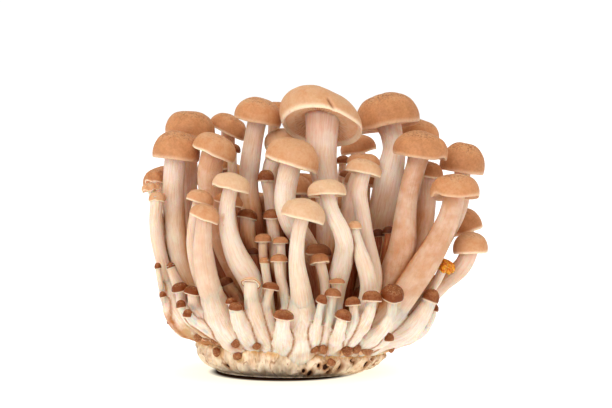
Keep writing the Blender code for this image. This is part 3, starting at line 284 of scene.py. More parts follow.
# How pale (0) to dark (1) a cap is, where it differs from what its width gives, and how crackled its top is.
TONES = {"crown": 0.27, "left_centre": 0.34, "front_tall": 0.12, "front_curved": 0.1, "front_left_mid": 0.1,
         "right_mid": 0.2, "right_mid_back": 0.4, "left_low": 0.36, "left_low_back": 0.35,
         "pale_button": 0.3, "left_centre_back": 0.2, "right_outer": 0.35, "left_slant": 0.38,
         "high_left": 0.42, "right_low": 0.42, "far_left": 0.48, "right_leaning": 0.5, "right_broad": 0.5,
         "right_high": 0.5, "right_dome": 0.52, "far_left_back": 0.5, "small_d": 0.6, "small_b": 0.55,
         "small_a": 0.6, "small_c": 0.55, "mid_grey": 0.66, "mid_shade": 0.75, "edge_a": 0.55,
         "edge_b": 0.3, "edge_low": 0.3, "torn": 0.1, "front_oval": 0.95, "dark_pair_a": 1,
         "dark_pair_b": 1, "button_e": 0.6, "button_d": 0.75, "left_mid_behind": 0.55}
CRACKLES = {"crown": 0.05, "left_centre": 0.1, "front_tall": 0.12, "front_curved": 0.08,
            "front_left_mid": 0.1, "right_high": 1, "right_dome": 0.95, "right_broad": 0.85,
            "right_low": 0.8, "far_left": 0.85, "far_left_back": 0.75, "high_left": 0.7, "right_shade": 0.7,
            "left_slant": 0.4, "left_low": 0.3, "right_outer": 0.4, "front_oval": 0.9, "dark_pair_a": 0.9,
            "dark_pair_b": 0.9}
# How tan a stem is, where it is known.
STEM_TONES = {"crown": 0.3, "right_high": 0.12, "right_broad": 0.85, "right_low": 0.9, "right_outer": 0.4,
              "far_left": 0.3, "far_left_back": 0.6, "left_slant": 1.1, "left_back": 0.7, "high_left": 0.4,
              "left_centre": 0.05, "front_tall": 0.02, "front_curved": 0.05, "front_left_mid": 0.05,
              "left_low": 0.5, "left_low_back": 0.4, "right_mid": 0.25, "right_mid_back": 0.5,
              "right_behind": 0.6, "right_dome": 0.5, "pale_button": 0.1, "torn": 0.1, "small_j": 0.05}
# Stems that stand in plain view though others run close in front: how much of their painted shade counts.
IN_VIEW = {"right_broad": 0.2, "right_high": 0.5}
# Caps whose underside and edge are bare: cream flesh with a brown outline.
BLEACHED = {"torn": 1}
# Rims that turn up at one place: towards where, how wide in radians, and how far as a share of the radius.
CURLS = {"right_low": ((-0.8, -0.6), 0.3, 0.2), "right_broad": ((0.85, -0.5), 0.3, 0.12),
         "left_centre": ((-0.9, -0.4), 0.4, 0.07), "edge_a": ((-0.7, -0.7), 0.5, 0.3),
         "edge_b": ((-0.8, -0.6), 0.5, 0.3), "torn": ((0.2, -1), 0.6, 0.15),
         "front_left_mid": ((-0.9, -0.4), 0.3, 0.06)}
# How wavy a cap's rim is, as a share of its radius.
WAVES = {"crown": 0.022, "right_broad": 0.03, "right_low": 0.028, "amber": 0.22, "amber_chip": 0.2,
         "edge_a": 0.09, "edge_b": 0.12, "edge_low": 0.08, "front_oval": 0.03}
COMMON_WAVE = 0.014
# Skin that peels from the top of a stem: how far down it hangs.
COLLARS = {"crown": 6.5, "right_high": 5.5}

# Ripples: how many waves add up, and how their lengths spread.
RIPPLE_WAVES = 14
RIPPLE_SPREAD = (0.6, 1.4)

# A cap's rings of points over its top, round its lip and under its gills, and the lip's (reach, rise).
TOP_HOLE = 0.03
TOP_RINGS = 30
LIP_RINGS = 12
GILL_RINGS = 12
LIP = ((1.0, RIM_RISE), (0.995, 0.07), (0.985, 0.0), (0.972, -0.05), (0.955, LIP_DROP), (0.935, -0.06),
       (0.915, -0.015), (GILL_REACH, LIP_RISE))
WIDEST_SOCKET = 0.8

# Gills: their spacing, how deep they are by the cap's radius, and how they rise from edge to valley.
GILL_SPACING = 1.15
LEAST_GILLS = 10
STEPS_PER_GILL = 4
GILL_DEPTH = 1.1
LEAST_GILL_DEPTH = 0.16
GILL_DEPTH_GROWTH = 0.09
GILL_CURVE = 1.2
GILL_VALLEY = (0, 0.45, 1, 0.45)
GILL_MIDDLE = 0.4
GILL_FULLNESS = 0.6
SHORT_GILL = 0.6
SHORT_GILL_FROM = 0.55

# A cap's waves round its rim, the dents in its top as (size, depth) in shares of its radius, and its tone.
WAVE_COUNTS = (2, 3, 4, 5, 7)
WAVE_REACHES = (0.3, 1)
LIFT_REACHES = (0.5, 1)
CAP_DENTS = ((0.9, 0.022), (0.35, 0.006))
DENT_RISES = (LIP_DROP, 0.3)
TONE_BY_WIDTH = ((3, 7, 10, 16), (0.9, 0.85, 0.55, 0.45))
COMMON_CRACKLE = 0.55
# The pale rim starts on the lip. Wide brown caps have a fainter one.
RIM_RINGS = (1, 4)
FAINT_RIM = 0.45
FAINT_RIM_WIDTH = 14
FAINT_RIM_TONE = 0.4

# The small crease near the top of the largest cap, seen from the front.
CREASE_ENDS = ((12.8, 93.6), (14.9, 90.2))
CREASE_DEPTH = -18
CREASE_BEFORE = -8
CREASE_WIDTH = 0.6
CREASE_PRESS = 0.8
CREASE_WAY = (0, 0.8, -0.6)

# Stems: the spacing and softening of their points, and how far their tops are tucked into the caps.
STEM_STEP = 1.0
STEM_SIDE = 0.75
LEAST_STEM_SIDES = 16
LEAST_MARKS = 8
LINE_SOFTENING = 6
STEM_TUCK = 1.2
SMALL_STEM_TUCK = 0.5
SMALL_SOCKET = 0.9
# Their swellings, as a share of the radius, and their fibres, in millimetres: how drawn out, how wide and how
# high. Then the flare where they meet the cap.
STEM_SWELL_WAY = (1, 1, 0.5)
STEM_SWELL_SIZE = 9
STEM_SWELL = 0.035
STEM_RIDGE_WAY = (1, 1, 0.09)
STEM_RIDGE_SIZE = 1.7
STEM_RIDGE = 0.055
NECK_FLARE = 0.1
NECK_LENGTH = 1.4
GRAIN_SHIFT = 41.0
COMMON_STEM_TONE = (0.1, 0.5)
TAN_HEIGHTS = (16, 32)
# Brown creases where stems meet, partly real staining and partly painted shade: from how far to how near
# another stem, and how strong.
NEIGHBOUR_REACH = 8
STEM_CREASE = (1.3, 0.1)
CREASE_SHARE = 0.9
# The wavy lower edge of peeled skin: (waves round the stem, where they start, size).
COLLAR_WAVES = ((2, 1, 0.16), (5, 0, 0.1), (11, 0, 0.05))
COLLAR_EDGE = (0.5, -0.5)
COLLAR_THICKNESS = 0.28
# Pieces of stems and small caps: left or right of here, in front of here, and behind here.
MIDDLE_ACROSS = 3
FRONT_DEPTH = -20
BACK_DEPTH = 4

# The fused feet: the bowl's rings and sides, the stems' share of those sides, and the skin drawn over all.
FEET_RINGS = 24
FEET_SIDES = 120
FEET_STRIDE = 5
FEET_VOXEL = 0.64
FEET_SOFTENING = 8
FEET_TOP = 34
FEET_RIDGE = 0.16
FEET_RIDGE_WAY = (1, 1, 0.15)
FEET_RIDGE_SIZE = 2.0
FEET_SWELL = 0.25
FEET_SWELL_SIZE = 6
FEET_CREASE = (0.9, 0.0)
FEET_CREASE_REACH = (6, 3)
PIN_STAIN = 0.8
PIN_STAIN_REACH = (1.05, 0.45)
POINTS_AT_ONCE = 6000
FAR_AWAY = 99
# How much wider than itself each stem is in the feet, at heights above the ring.
FOOT_GROWTH = ((0, 6, 12, 18, 23), (1.42, 1.36, 1.22, 1.06, 0.84))

# The grid of how full of stems the space is, and how fast stems hide what is behind them, for the painted
# shade deep in the cluster.
COVER_CELL = 2
COVER_CELLS = (68, 60, 56)
COVER_CORNER = (-68, -60, -6)
COVER_BLURS = 4
COVER_DENSITY = 0.26
# Where a place looks for cover: outward, to both sides and up, from near to far; and what counts as hidden.
COVER_WAY = (1 / 1.1, 1, 0)
COVER_LEANS = (-0.6, 0, 0.6)
COVER_LIFT = 0.3
COVER_LOOK = (3, 27)
COVER_RANGE = (0.32, 0.72)
COVER_HEIGHTS = (72, 46)

# A pin's (height, radius) as shares of its width, from its root to its top, and its looks.
PIN_PROFILE = ((-0.8, 0.26), (-0.3, 0.26), (0.02, 0.3), (0.1, 0.42), (0.22, 0.52), (0.42, 0.5), (0.62, 0.38),
               (0.76, 0.18), (0.8, 0.03))
PIN_RINGS = 26
PIN_SIDES = 28
PIN_LIFT = 0.35
PIN_WAVES = ((2, 0.1), (3, 0.05))
PIN_TURN = 6
PIN_DENT_SIZE = 0.8
PIN_DENT = 0.05
PIN_HEAD = (0.03, 0.14)
PIN_TONES = (0.78, 0.95)
PIN_CRACKLE = 0.7

# The block's points: rings from the middle of its underside up to its top, the first one kept, and sides.
BLOCK_RINGS = 70
BLOCK_FIRST_RING = 8
BLOCK_SIDES = 560
BLOCK_INSET = 0.25
BLOCK_OVERLAP = 0.4
# Its upright folds: how drawn out, twisted and sharp they are, where up the side they start and fade, and the
# depth and spacing of the wide, narrow and fine ones.
FOLD_REACH = 31
FOLD_UPRIGHT = 0.22
FOLD_TWIST = 1.6
FOLD_TWIST_SIZE = 12
FOLD_SHARPNESS = 2.2
FOLD_START = (0, 0.25)
FOLD_END = (0.85, 1)
FOLD_FADE = 0.35
WIDE_FOLD = 0.7
WIDE_FOLD_SIZE = 7
NARROW_FOLD = 0.6
NARROW_FOLD_SIZE = 3.2
FINE_FOLD = 0.2
FINE_FOLD_SIZE = 1.3
# Dark pits in the block's side: (across, up, radius) in front, and how many, how high and how wide behind.
BLOCK_PITS = ((11.8, 4.2, 1.0), (16.9, 3.7, 1.1), (6.9, 2.0, 1.0), (13.3, 2.4, 0.7), (21.0, 4.9, 0.7),
              (24.6, 4.0, 0.9), (26.5, 5.6, 0.7), (-21.5, 3.6, 0.7), (9.2, 4.8, 0.6), (19.6, 5.9, 0.6),
              (4.6, 2.9, 0.6), (28.2, 3.4, 0.6), (12.6, 5.9, 0.5))
BACK_PITS = 14
BACK_PIT_START = 0.1
BACK_PIT_RISE = (2.5, 7.5)
BACK_PIT_SIZE = (0.5, 1.1)
PIT_REACH = 30
PIT_DEPTH = 1.5
PIT_FLATTENING = 0.8
PIT_HALO_REACH = 1.7

# The olive stain low on the left of the feet: its middle and how far it reaches.
OLIVE_PLACE = (-34, -21, 14.5)
OLIVE_SIZE = (8, 14, 5.5)
OLIVE_EDGE = (1.0, 0.3)

# Colours of the skin, the gills, the stems and the block.
WHITE = (1, 1, 1)
PALE_SKIN = (0.80, 0.595, 0.40)
TAN_SKIN = (0.61, 0.29, 0.13)
DARK_SKIN = (0.19, 0.04, 0.003)
# Caps deep in the cluster are darkened towards this colour: painted shade.
SKIN_PAINTED_SHADE = (0.42, 0.28, 0.20)
SPECK_COLOUR = (0.19, 0.05, 0.012)
FLECK_COLOUR = (0.80, 0.50, 0.26)
RIM_COLOUR = (0.94, 0.76, 0.56)
GILL_COLOUR = (0.92, 0.52, 0.30)
# The valleys between the gills take this painted shade.
GILL_PAINTED_SHADE = (0.62, 0.25, 0.11)
GILL_BLOOM = (0.94, 0.68, 0.48)
GILL_WHITE = (0.95, 0.78, 0.60)
TORN_RIM = (0.40, 0.15, 0.05)
# Darker line along the largest cap's pressed crease.
CREASE_DARK_COLOUR = (0.34, 0.14, 0.06)
AMBER_PALE = (1.0, 0.46, 0.04)
AMBER_DEEP = (0.72, 0.15, 0.004)
STEM_PALE = (0.93, 0.84, 0.76)
STEM_CREAM = (0.89, 0.79, 0.66)
FOOT_PALE = (0.95, 0.88, 0.80)
STEM_WARM = (0.80, 0.56, 0.37)
STEM_TAN = (0.66, 0.38, 0.23)
# Stems deep in the cluster are darkened through these two colours: painted shade.
STEM_SHADED = (0.90, 0.67, 0.46)
STEM_PAINTED_SHADE = (0.40, 0.10, 0.035)
STEM_STAIN = (0.68, 0.36, 0.15)
# Where stems meet: partly brown stain, partly painted shade.
CREASE_STAIN_AND_SHADE = (0.47, 0.165, 0.035)
PEEL_COLOUR = (0.76, 0.48, 0.36)
OLIVE_STAIN = (0.54, 0.31, 0.10)
BLOCK_CREAM = (1.0, 0.83, 0.65)
BLOCK_TAN = (0.84, 0.60, 0.40)
BLOCK_CREASE = (0.36, 0.14, 0.05)
BLOCK_RIGHT_BROWN = (0.62, 0.36, 0.16)
RING_STAIN = (0.78, 0.48, 0.22)
PIT_COLOUR = (0.05, 0.014, 0.005)
PIT_HALO = (0.42, 0.17, 0.05)

# Light: the soft sun's strength, angle and place, the room's light and the white that is seen of it.
KEY_STRENGTH = 1.22
KEY_SOFTNESS = 35
KEY_PLACE = (-0.42, -1.0, 0.62)
ROOM_LIGHT = 0.78
ROOM_WARM = (1.0, 0.86, 0.72)
ROOM_WHITE = 1.05
# The floor: its grey, its glow, and from how near to how far its painted contact shadow and painted soft
# shadow reach, with a painted warm light near the block.
FLOOR_HALF = 4.0
FLOOR_GREY = (0.26, 0.26, 0.26)
FLOOR_GLOW = 1.05
FLOOR_CONTACT_SHADOW = (27, 32)
FLOOR_STRETCH = (1.2, 1, 1)
FLOOR_SHIFT = (3, 4, 0)
FLOOR_SHADOW_DARK = (0.03, 0.012, 0.006)
FLOOR_SHADE = (30, 70)
FLOOR_DIM = 0.9
FLOOR_PAINTED_WARM_LIGHT = (1.0, 0.93, 0.76)
# The view: how much of the upright plane it shows across, where on it it aims, and its sensor and clipping.
VIEW_ACROSS = 210.528
AIM_ACROSS = 5.3
AIM_UP = 57.4
SENSOR = 36
CLIP = (0.05, 20)


def stretch_at(depth):
    """How much larger a thing at this depth is than it looks on the upright plane."""
    return 1 + depth / EYE_DISTANCE


def seen_at(across, up, depth):
    """The place that the eye sees at this spot of the upright plane."""
    stretch = stretch_at(depth)
    return Vector((EYE_ACROSS + (across - EYE_ACROSS) * stretch, depth,
                   EYE_HEIGHT + (up - EYE_HEIGHT) * stretch))


def on_plane(place):
    """Where the eye sees this place, on the upright plane."""
    stretch = stretch_at(place.y)
    return EYE_ACROSS + (place.x - EYE_ACROSS) / stretch, EYE_HEIGHT + (place.z - EYE_HEIGHT) / stretch


def ring_height(across):
    return RING_HEIGHT + RING_SLOPE * across


def back_mushrooms():
    """Rows like those of the front, for the rings of mushrooms behind."""
    chance = random.Random(SEED)
    rows = []
    for ring in BACK_RINGS:
        for number in range(ring.count):
            share = (number + chance.uniform(-TURN_SPREAD, TURN_SPREAD)) / (ring.count - 1)
            angle = math.radians(ring.first + (ring.last - ring.first) * share)
            aim = Vector((math.cos(angle), math.sin(angle), 0))
            rise = ring.rise * (1 + chance.uniform(-HEIGHT_SPREAD, HEIGHT_SPREAD))
            rise -= NOTCH_DROP * math.exp(-(((aim.x * ring.reach - NOTCH_ACROSS) / NOTCH_WIDTH) ** 2))
            width = ring.width * (1 + chance.uniform(-WIDTH_SPREAD, WIDTH_SPREAD))
            head = aim * ring.reach * (1 + chance.uniform(-REACH_SPREAD, REACH_SPREAD)) + Vector((0, 0, rise))
            foot = aim * ring.foot + Vector((0, 0, ring_height(aim.x * ring.foot) + ROOT_RISE))
            stem = []
            for step in BACK_STATIONS:
                place = foot.lerp(head, 1 - (1 - step) ** FLARE)
                place.z = foot.z + (head.z - foot.z) * step
                stem.append((*on_plane(place), ring.stem * (ROOT_WIDTH - STEM_TAPER * step)))
            tilt = (BACK_TILT * aim.x * chance.uniform(LEAST_TILT, 1),
                    BACK_TILT * aim.y * chance.uniform(LEAST_TILT, 1))
            rows.append(Mushroom(f"{ring.name}_{number + 1}", on_plane(head), head.y, width,
                                 width * DOME_OF_WIDTH, tilt, foot.y, tuple(stem)))
    return rows


class Cap:
    """Where a mushroom's cap is, and how near other things come to it."""

    def __init__(self, row):
        stretch = stretch_at(row.depth)
        right, back = (math.radians(angle) for angle in row.tilt)
        self.row = row
        self.centre = seen_at(*row.cap, row.depth)
        self.axis = Vector((math.tan(right), math.tan(back), 1)).normalized()
        self.radius = row.width / 2 * stretch
        self.height = row.dome * stretch
        self.side = self.axis.orthogonal().normalized()
        self.front = self.axis.cross(self.side)
        self.lean = Vector((LEANS.get(row.name, 0) * self.radius, 0, 0))

    def point(self, turn, reach, rise):
        """A point of the cap: a share of its radius out, at this angle, and a share of its height up."""
        out = self.side * math.cos(turn) + self.front * math.sin(turn)
        return self.centre + out * self.radius * reach + (self.axis * self.height + self.lean) * rise

    def nearness(self, place, margin):
        """Below 1 where a place is within the margin of the cap."""
        offset = place - self.centre
        along = offset.dot(self.axis)
        across = (offset - self.axis * along).length
        if along > 0:
            past = max(0, along - RIM_RISE * self.height) / ((1 - RIM_RISE) * self.height + margin)
        else:
            past = along / (LIP_ROOM * self.height + margin)
        return (across / (self.radius + margin)) ** DOME_POWER + past ** 2

    def outline(self):
        """Points all over the cap, for trying it against its neighbours."""
        points = [self.point(0, 0, 1)]
        for reach, rise in ((LIP_REACH, 0), *((reach, dome_rise(reach)) for reach in OUTLINE_REACHES)):
            points += [self.point(math.tau * k / OUTLINE_SIDES, reach, rise) for k in range(OUTLINE_SIDES)]
        return points


def dome_rise(reach):
    """How high a cap's top is at this share of its radius, as a share of its height."""
    return RIM_RISE + (1 - RIM_RISE) * (1 - reach ** DOME_POWER) ** 0.5


def settled(rows):
    """The rows' caps, moved in depth until no two touch; each keeps its place in the front view."""
    caps = [Cap(row) for row in rows]
    pairs = [(a, b) for a in range(len(caps)) for b in range(a) if may_touch(caps[a], caps[b])]
    for _ in range(SETTLE_ROUNDS):
        pushes = [0.0] * len(caps)
        for a, b in pairs:
            closeness = min(min(caps[a].nearness(place, GAP) for place in caps[b].outline()),
                            min(caps[b].nearness(place, GAP) for place in caps[a].outline()))
            if closeness < TOUCHING:
                way = 1 if caps[a].row.depth > caps[b].row.depth else -1
                pushes[a] += way * SETTLE_STEP
                pushes[b] -= way * SETTLE_STEP
        if not any(pushes):
            break
        caps = [Cap(cap.row._replace(depth=cap.row.depth + push)) if push else cap
                for cap, push in zip(caps, pushes)]
    return caps


def may_touch(one, other):
    """Whether two caps could meet if their depths changed."""
    apart = Vector(one.row.cap) - Vector(other.row.cap)
    return apart.length < one.radius + other.radius + max(one.height, other.height)


def stem_path(cap):
    """A smooth line of (place, radius) up the middle of a mushroom's stem, from its root to its cap."""
    row = cap.row
    marks = list(reversed(row.stem))
    lengths = [0.0]
    for lower, upper in zip(marks, marks[1:]):
        lengths.append(lengths[-1] + math.dist(lower[:2], upper[:2]))
    line = []
    for (across, up, width), length in zip(marks, lengths):
        share = 1 - (1 - length / lengths[-1]) ** FLARE
        depth = row.foot_depth + (row.depth - row.foot_depth) * share
        line.append((seen_at(across, up, depth), width / 2 * stretch_at(depth)))
    foot, foot_radius = line[0]
    root_height = min(foot.z - ROOT_DROP, ring_height(foot.x) + ROOT_RISE)
    root = Vector((foot.x * ROOT_PULL, foot.y * ROOT_PULL, root_height))
    line.insert(0, (root, foot_radius))
    line[-1] = (cap.centre + cap.axis * (UNDERSIDE_RISE * cap.height - GAP), line[-1][1])
    return curve_through(line)


def curve_through(line):
    """Evenly many points on the smooth curve through a line's own points."""
    steps = len(line) - 1
    curve = []
    for k in range(STEM_SAMPLES + 1):
        place = k / STEM_SAMPLES * steps
        index = min(int(place), steps - 1)
        near = [line[min(max(index + shift, 0), steps)] for shift in (-1, 0, 1, 2)]
        curve.append((smooth_value([place for place, _ in near], place - index),
                      smooth_value([radius for _, radius in near], place - index)))
    return curve


def smooth_value(near, share):
    """A Catmull-Rom curve's value between the second and third of four neighbours."""
    before, start, end, after = near
    return 0.5 * (start * 2 + (end - before) * share + (before * 2 - start * 5 + end * 4 - after) * share ** 2
                  + (start * 3 - before - end * 3 + after) * share ** 3)


def bent_clear(path, own, caps):
    """The path moved in depth, a little at a time, until it clears the other caps."""
    places = [place.copy() for place, _ in path]
    radii = [radius for _, radius in path]
    near = [cap for cap in caps if cap is not own and
            min((place - cap.centre).length for place in places) < cap.radius + cap.height + BEND_REACH]
    for _ in range(BEND_ROUNDS):
        pushes = [0.0] * len(places)
        for k in range(2, len(places) - 1):
            for cap in near:
                if cap.nearness(places[k], radii[k] + CLEARANCE) < 1:
                    pushes[k] += BEND_STEP if places[k].y > cap.centre.y else -BEND_STEP
        if not any(pushes):
            break
        for _ in range(BEND_SOFTENING):
            pushes = [0] + [(a + 2 * b + c) / 4 for a, b, c in zip(pushes, pushes[1:], pushes[2:])] + [0]
        for place, push in zip(places, pushes):
            place.y += push
    return list(zip(places, radii))


def chance_for(name):
    """A random source of its own for each piece, the same at every run."""
    return np.random.default_rng([SEED, *name.encode()])


def ripples(points, size, chance):
    """A smooth random value, mostly from -1 to 1, at each point, with swellings of about this size."""
    ways = chance.normal(size=(RIPPLE_WAVES, points.shape[-1]))
    spread = chance.uniform(*RIPPLE_SPREAD, (RIPPLE_WAVES, 1))
    ways *= math.tau / size * spread / np.linalg.norm(ways, axis=1, keepdims=True)
    phases = chance.uniform(0, math.tau, RIPPLE_WAVES)
    return np.sin(points @ ways.T + phases).sum(axis=-1) / math.sqrt(2 * RIPPLE_WAVES)


def smooth_step(low, high, values):
    """0 below low, 1 above high, and a soft rise between; the other way round where high is below low."""
    share = np.clip((values - low) / (high - low), 0, 1)
    return share * share * (3 - 2 * share)


def along_curve(marks, count):
    """Evenly many points on the smooth curve through these marks."""
    marks = np.array(marks, float)
    padded = np.vstack([marks[:1] * 2 - marks[1:2], marks, marks[-1:] * 2 - marks[-2:-1]])
    place = np.linspace(0, len(marks) - 1, count)
    index = np.minimum(place.astype(int), len(marks) - 2)
    share = (place - index)[:, None]
    return smooth_value([padded[index + shift] for shift in range(4)], share)


def angles(count):
    """Evenly many angles all round."""
    return np.arange(count) * math.tau / count


def spokes(turns, side, front):
    """The way out at each angle, between two directions that are square to each other."""
    return np.cos(turns)[:, None] * side + np.sin(turns)[:, None] * front


class Sculpt:
    """Gathers closed grids of points, with values for each point, into one mesh."""

    def __init__(self):
        self.points = []
        self.faces = []
        self.values = {}
        self.count = 0

    def add(self, grid, **values):
        """A grid of rings of points, in millimetres, closed by a fan at each end."""
        rings, sides = grid.shape[:2]
        here = np.arange(rings * sides).reshape(rings, sides) + self.count
        beside = np.roll(here, -1, axis=1)
        quads = np.stack([here[:-1], beside[:-1], beside[1:], here[1:]], axis=-1).reshape(-1, 4)
        first, last = self.count + rings * sides, self.count + rings * sides + 1
        self.faces += quads.tolist()
        self.faces += [(first, b, a) for a, b in zip(here[0].tolist(), beside[0].tolist())]
        self.faces += [(last, a, b) for a, b in zip(here[-1].tolist(), beside[-1].tolist())]
        self.points += [grid.reshape(-1, 3), grid[0].mean(axis=0)[None], grid[-1].mean(axis=0)[None]]
        for name, value in values.items():
            value = np.array(value, float)
            tail = value.shape[2:]
            value = np.broadcast_to(value, (rings, sides, *tail))
            ends = [value[0].mean(axis=0)[None], value[-1].mean(axis=0)[None]]
            self.values.setdefault(name, []).append(np.concatenate([value.reshape(-1, *tail), *ends]))
        self.count += rings * sides + 2

    def mesh(self, name):
        points = np.concatenate(self.points) * MM
        made = bpy.data.meshes.new(name)
        made.from_pydata(points.tolist(), [], self.faces)
        for label, parts in self.values.items():
            store(made, label, np.concatenate(parts))
        made.shade_smooth()
        return made

    def piece(self, name, surface, slot, *nodes):
        placed(bpy.data.objects.new(name, self.mesh(name)), surface, slot, *nodes)


def store(mesh, label, values):
    """Keep a number or a direction for each point of a mesh, for its surface's nodes to read."""
    kind, key = ("FLOAT_VECTOR", "vector") if values.ndim == 2 else ("FLOAT", "value")
    mesh.attributes.new(label, kind, "POINT").data.foreach_set(key, values.astype(np.float32).ravel())


def placed(piece, surface, slot, *nodes):
    """Link a piece, give it its surface, and let it stand for its nodes; its slot is not used."""
    if piece.name not in bpy.context.scene.collection.objects:
        bpy.context.scene.collection.objects.link(piece)
    piece.data.materials.clear()
    piece.data.materials.append(surface)
    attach(piece, "root")
    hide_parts(*nodes)


def cap_profile(socket):
    """(reach, rise) over the top, round the lip and in under the gills, and where lip and gills start."""
    reach = np.sin(np.linspace(TOP_HOLE, 1, TOP_RINGS, endpoint=False) * math.pi / 2)
    top = np.stack([reach, dome_rise(reach)], axis=-1)
    inward = np.linspace(0, 1, GILL_RINGS + 1)[1:]
    under = np.stack([GILL_REACH + (socket - GILL_REACH) * inward,
                      LIP_RISE + (UNDERSIDE_RISE - LIP_RISE) * inward ** GILL_CURVE], axis=-1)
    return np.concatenate([top, along_curve(LIP, LIP_RINGS), under]), TOP_RINGS, TOP_RINGS + LIP_RINGS


def gill_furrows(inward, sides):
    """How far up each point lies between the gills, every second one short, and how near a valley it is."""
    valley = np.array(GILL_VALLEY)[np.arange(sides) % STEPS_PER_GILL]
    short = (np.arange(sides) // STEPS_PER_GILL) % 2
    fullness = np.sin(np.pi * inward)[:, None] ** GILL_FULLNESS
    missing = short * (1 - valley) * SHORT_GILL * fullness * (inward > SHORT_GILL_FROM)[:, None]
    return fullness * (valley - GILL_MIDDLE) + missing, valley


def add_cap(sculpt, cap, stem_radius, cover):
    """A cap's skin, lip and gills, waved, dented and toned in its own way."""
    name = cap.row.name
    chance = chance_for(name)
    sides = STEPS_PER_GILL * max(LEAST_GILLS, round(math.tau * cap.radius / GILL_SPACING))
    turns = angles(sides)
    profile, lip_start, gill_start = cap_profile(min((stem_radius + GAP) / cap.radius, WIDEST_SOCKET))
    reach, rise = profile[:, :1], profile[:, 1:]
    inward = np.zeros(len(profile))
    inward[gill_start:] = np.linspace(0, 1, GILL_RINGS + 1)[1:]
    under = (inward > 0).astype(float)
    furrows, valley = gill_furrows(inward, sides)
    depth = min(GILL_DEPTH, LEAST_GILL_DEPTH + GILL_DEPTH_GROWTH * cap.radius) / cap.height
    rise = rise + furrows * depth * under[:, None]
    wave = WAVES.get(name, COMMON_WAVE)
    outline, lift = np.zeros((2, sides))
    for count in WAVE_COUNTS:
        for wobble in (outline, lift):
            size = wave / math.sqrt(count) * chance.normal()
            wobble += size * np.cos(count * turns + chance.uniform(0, math.tau))
    lift += curl_of(cap, turns)
    reach = reach * (1 + outline * smooth_step(*WAVE_REACHES, reach))
    rise = rise + lift * cap.radius / cap.height * smooth_step(*LIFT_REACHES, reach)
    centre, side, front, axis, lean = map(np.array, (cap.centre, cap.side, cap.front, cap.axis, cap.lean))
    out = spokes(turns, side, front)
    grid = centre + out * (cap.radius * reach)[..., None] + rise[..., None] * (axis * cap.height + lean)
    dents = sum(ripples(grid, cap.radius * size, chance) * height * cap.radius for size, height in CAP_DENTS)
    dents = dents * (1 - under)[:, None] * smooth_step(*DENT_RISES, profile[:, 1])[:, None]
    grid = grid + dents[..., None] * axis
    scar = 0
    if name == "crown":
        grid, scar = creased(grid, under)
    tone = tone_of(cap)
    rim = smooth_step(*RIM_RINGS, np.arange(len(profile)) - lip_start)
    rim *= FAINT_RIM if cap.row.width > FAINT_RIM_WIDTH and tone > FAINT_RIM_TONE else 1
    # The last value sets how much painted shade darkens the cap.
    sculpt.add(grid, reach=profile[:, :1], under=under[:, None], rim=rim[:, None], valley=valley, tone=tone,
               crackle=CRACKLES.get(name, COMMON_CRACKLE), scar=scar, bleach=BLEACHED.get(name, 0),
               inner=cover.over(grid))


def curl_of(cap, turns):
    """How far the rim turns up at each angle, as a share of the radius, where part of it curls."""
    if cap.row.name not in CURLS:
        return np.zeros(len(turns))
    (across, back), width, height = CURLS[cap.row.name]
    way = Vector((across, back, 0)).normalized()
    middle = math.atan2(cap.front.dot(way), cap.side.dot(way))
    off = (turns - middle + math.pi) % math.tau - math.pi
    return height * np.exp(-(off / width) ** 2)


def creased(grid, under):
    """The largest cap's skin with its small crease pressed in, and how deep in the crease each point is."""
    first, last = (np.array(seen_at(*place, CREASE_DEPTH)) for place in CREASE_ENDS)
    along = (last - first)[[0, 2]]
    offset = grid[..., [0, 2]] - first[[0, 2]]
    share = np.clip(offset @ along / (along @ along), 0, 1)
    away = np.linalg.norm(offset - share[..., None] * along, axis=-1)
    groove = np.exp(-(away / CREASE_WIDTH) ** 2) * (1 - under)[:, None] * (grid[..., 1] < CREASE_BEFORE)
    return grid + (CREASE_PRESS * groove)[..., None] * np.array(CREASE_WAY), groove ** 3


def tone_of(cap):
    """How dark a cap is: small ones are darker."""
    return TONES.get(cap.row.name, np.interp(cap.row.width, *TONE_BY_WIDTH))


def resampled(path, spacing):
    """A path's places and radii at an even spacing, smoothed."""
    places = np.array([tuple(place) for place, _ in path])
    radii = np.array([radius for _, radius in path])
    lengths = np.concatenate([[0], np.cumsum(np.linalg.norm(np.diff(places, axis=0), axis=1))])
    marks = np.linspace(0, lengths[-1], max(LEAST_MARKS, round(lengths[-1] / spacing)))
    line = np.stack([np.interp(marks, lengths, values) for values in (*places.T, radii)], axis=-1)
    for _ in range(LINE_SOFTENING):
        line[1:-1] = (line[:-2] + 2 * line[1:-1] + line[2:]) / 4
    return line[:, :3], line[:, 3], marks


def frames_along(places):
    """Two directions square to a line at each of its points, turning as little as they can."""
    onward = np.gradient(places, axis=0)
    onward /= np.linalg.norm(onward, axis=1, keepdims=True)
    side = np.cross(onward[0], (0, 1, 0))
    sides = []
    for way in onward:
        side = side - way * (side @ way)
        side /= np.linalg.norm(side)
        sides.append(side)
    sides = np.array(sides)
    return sides, np.cross(onward, sides)


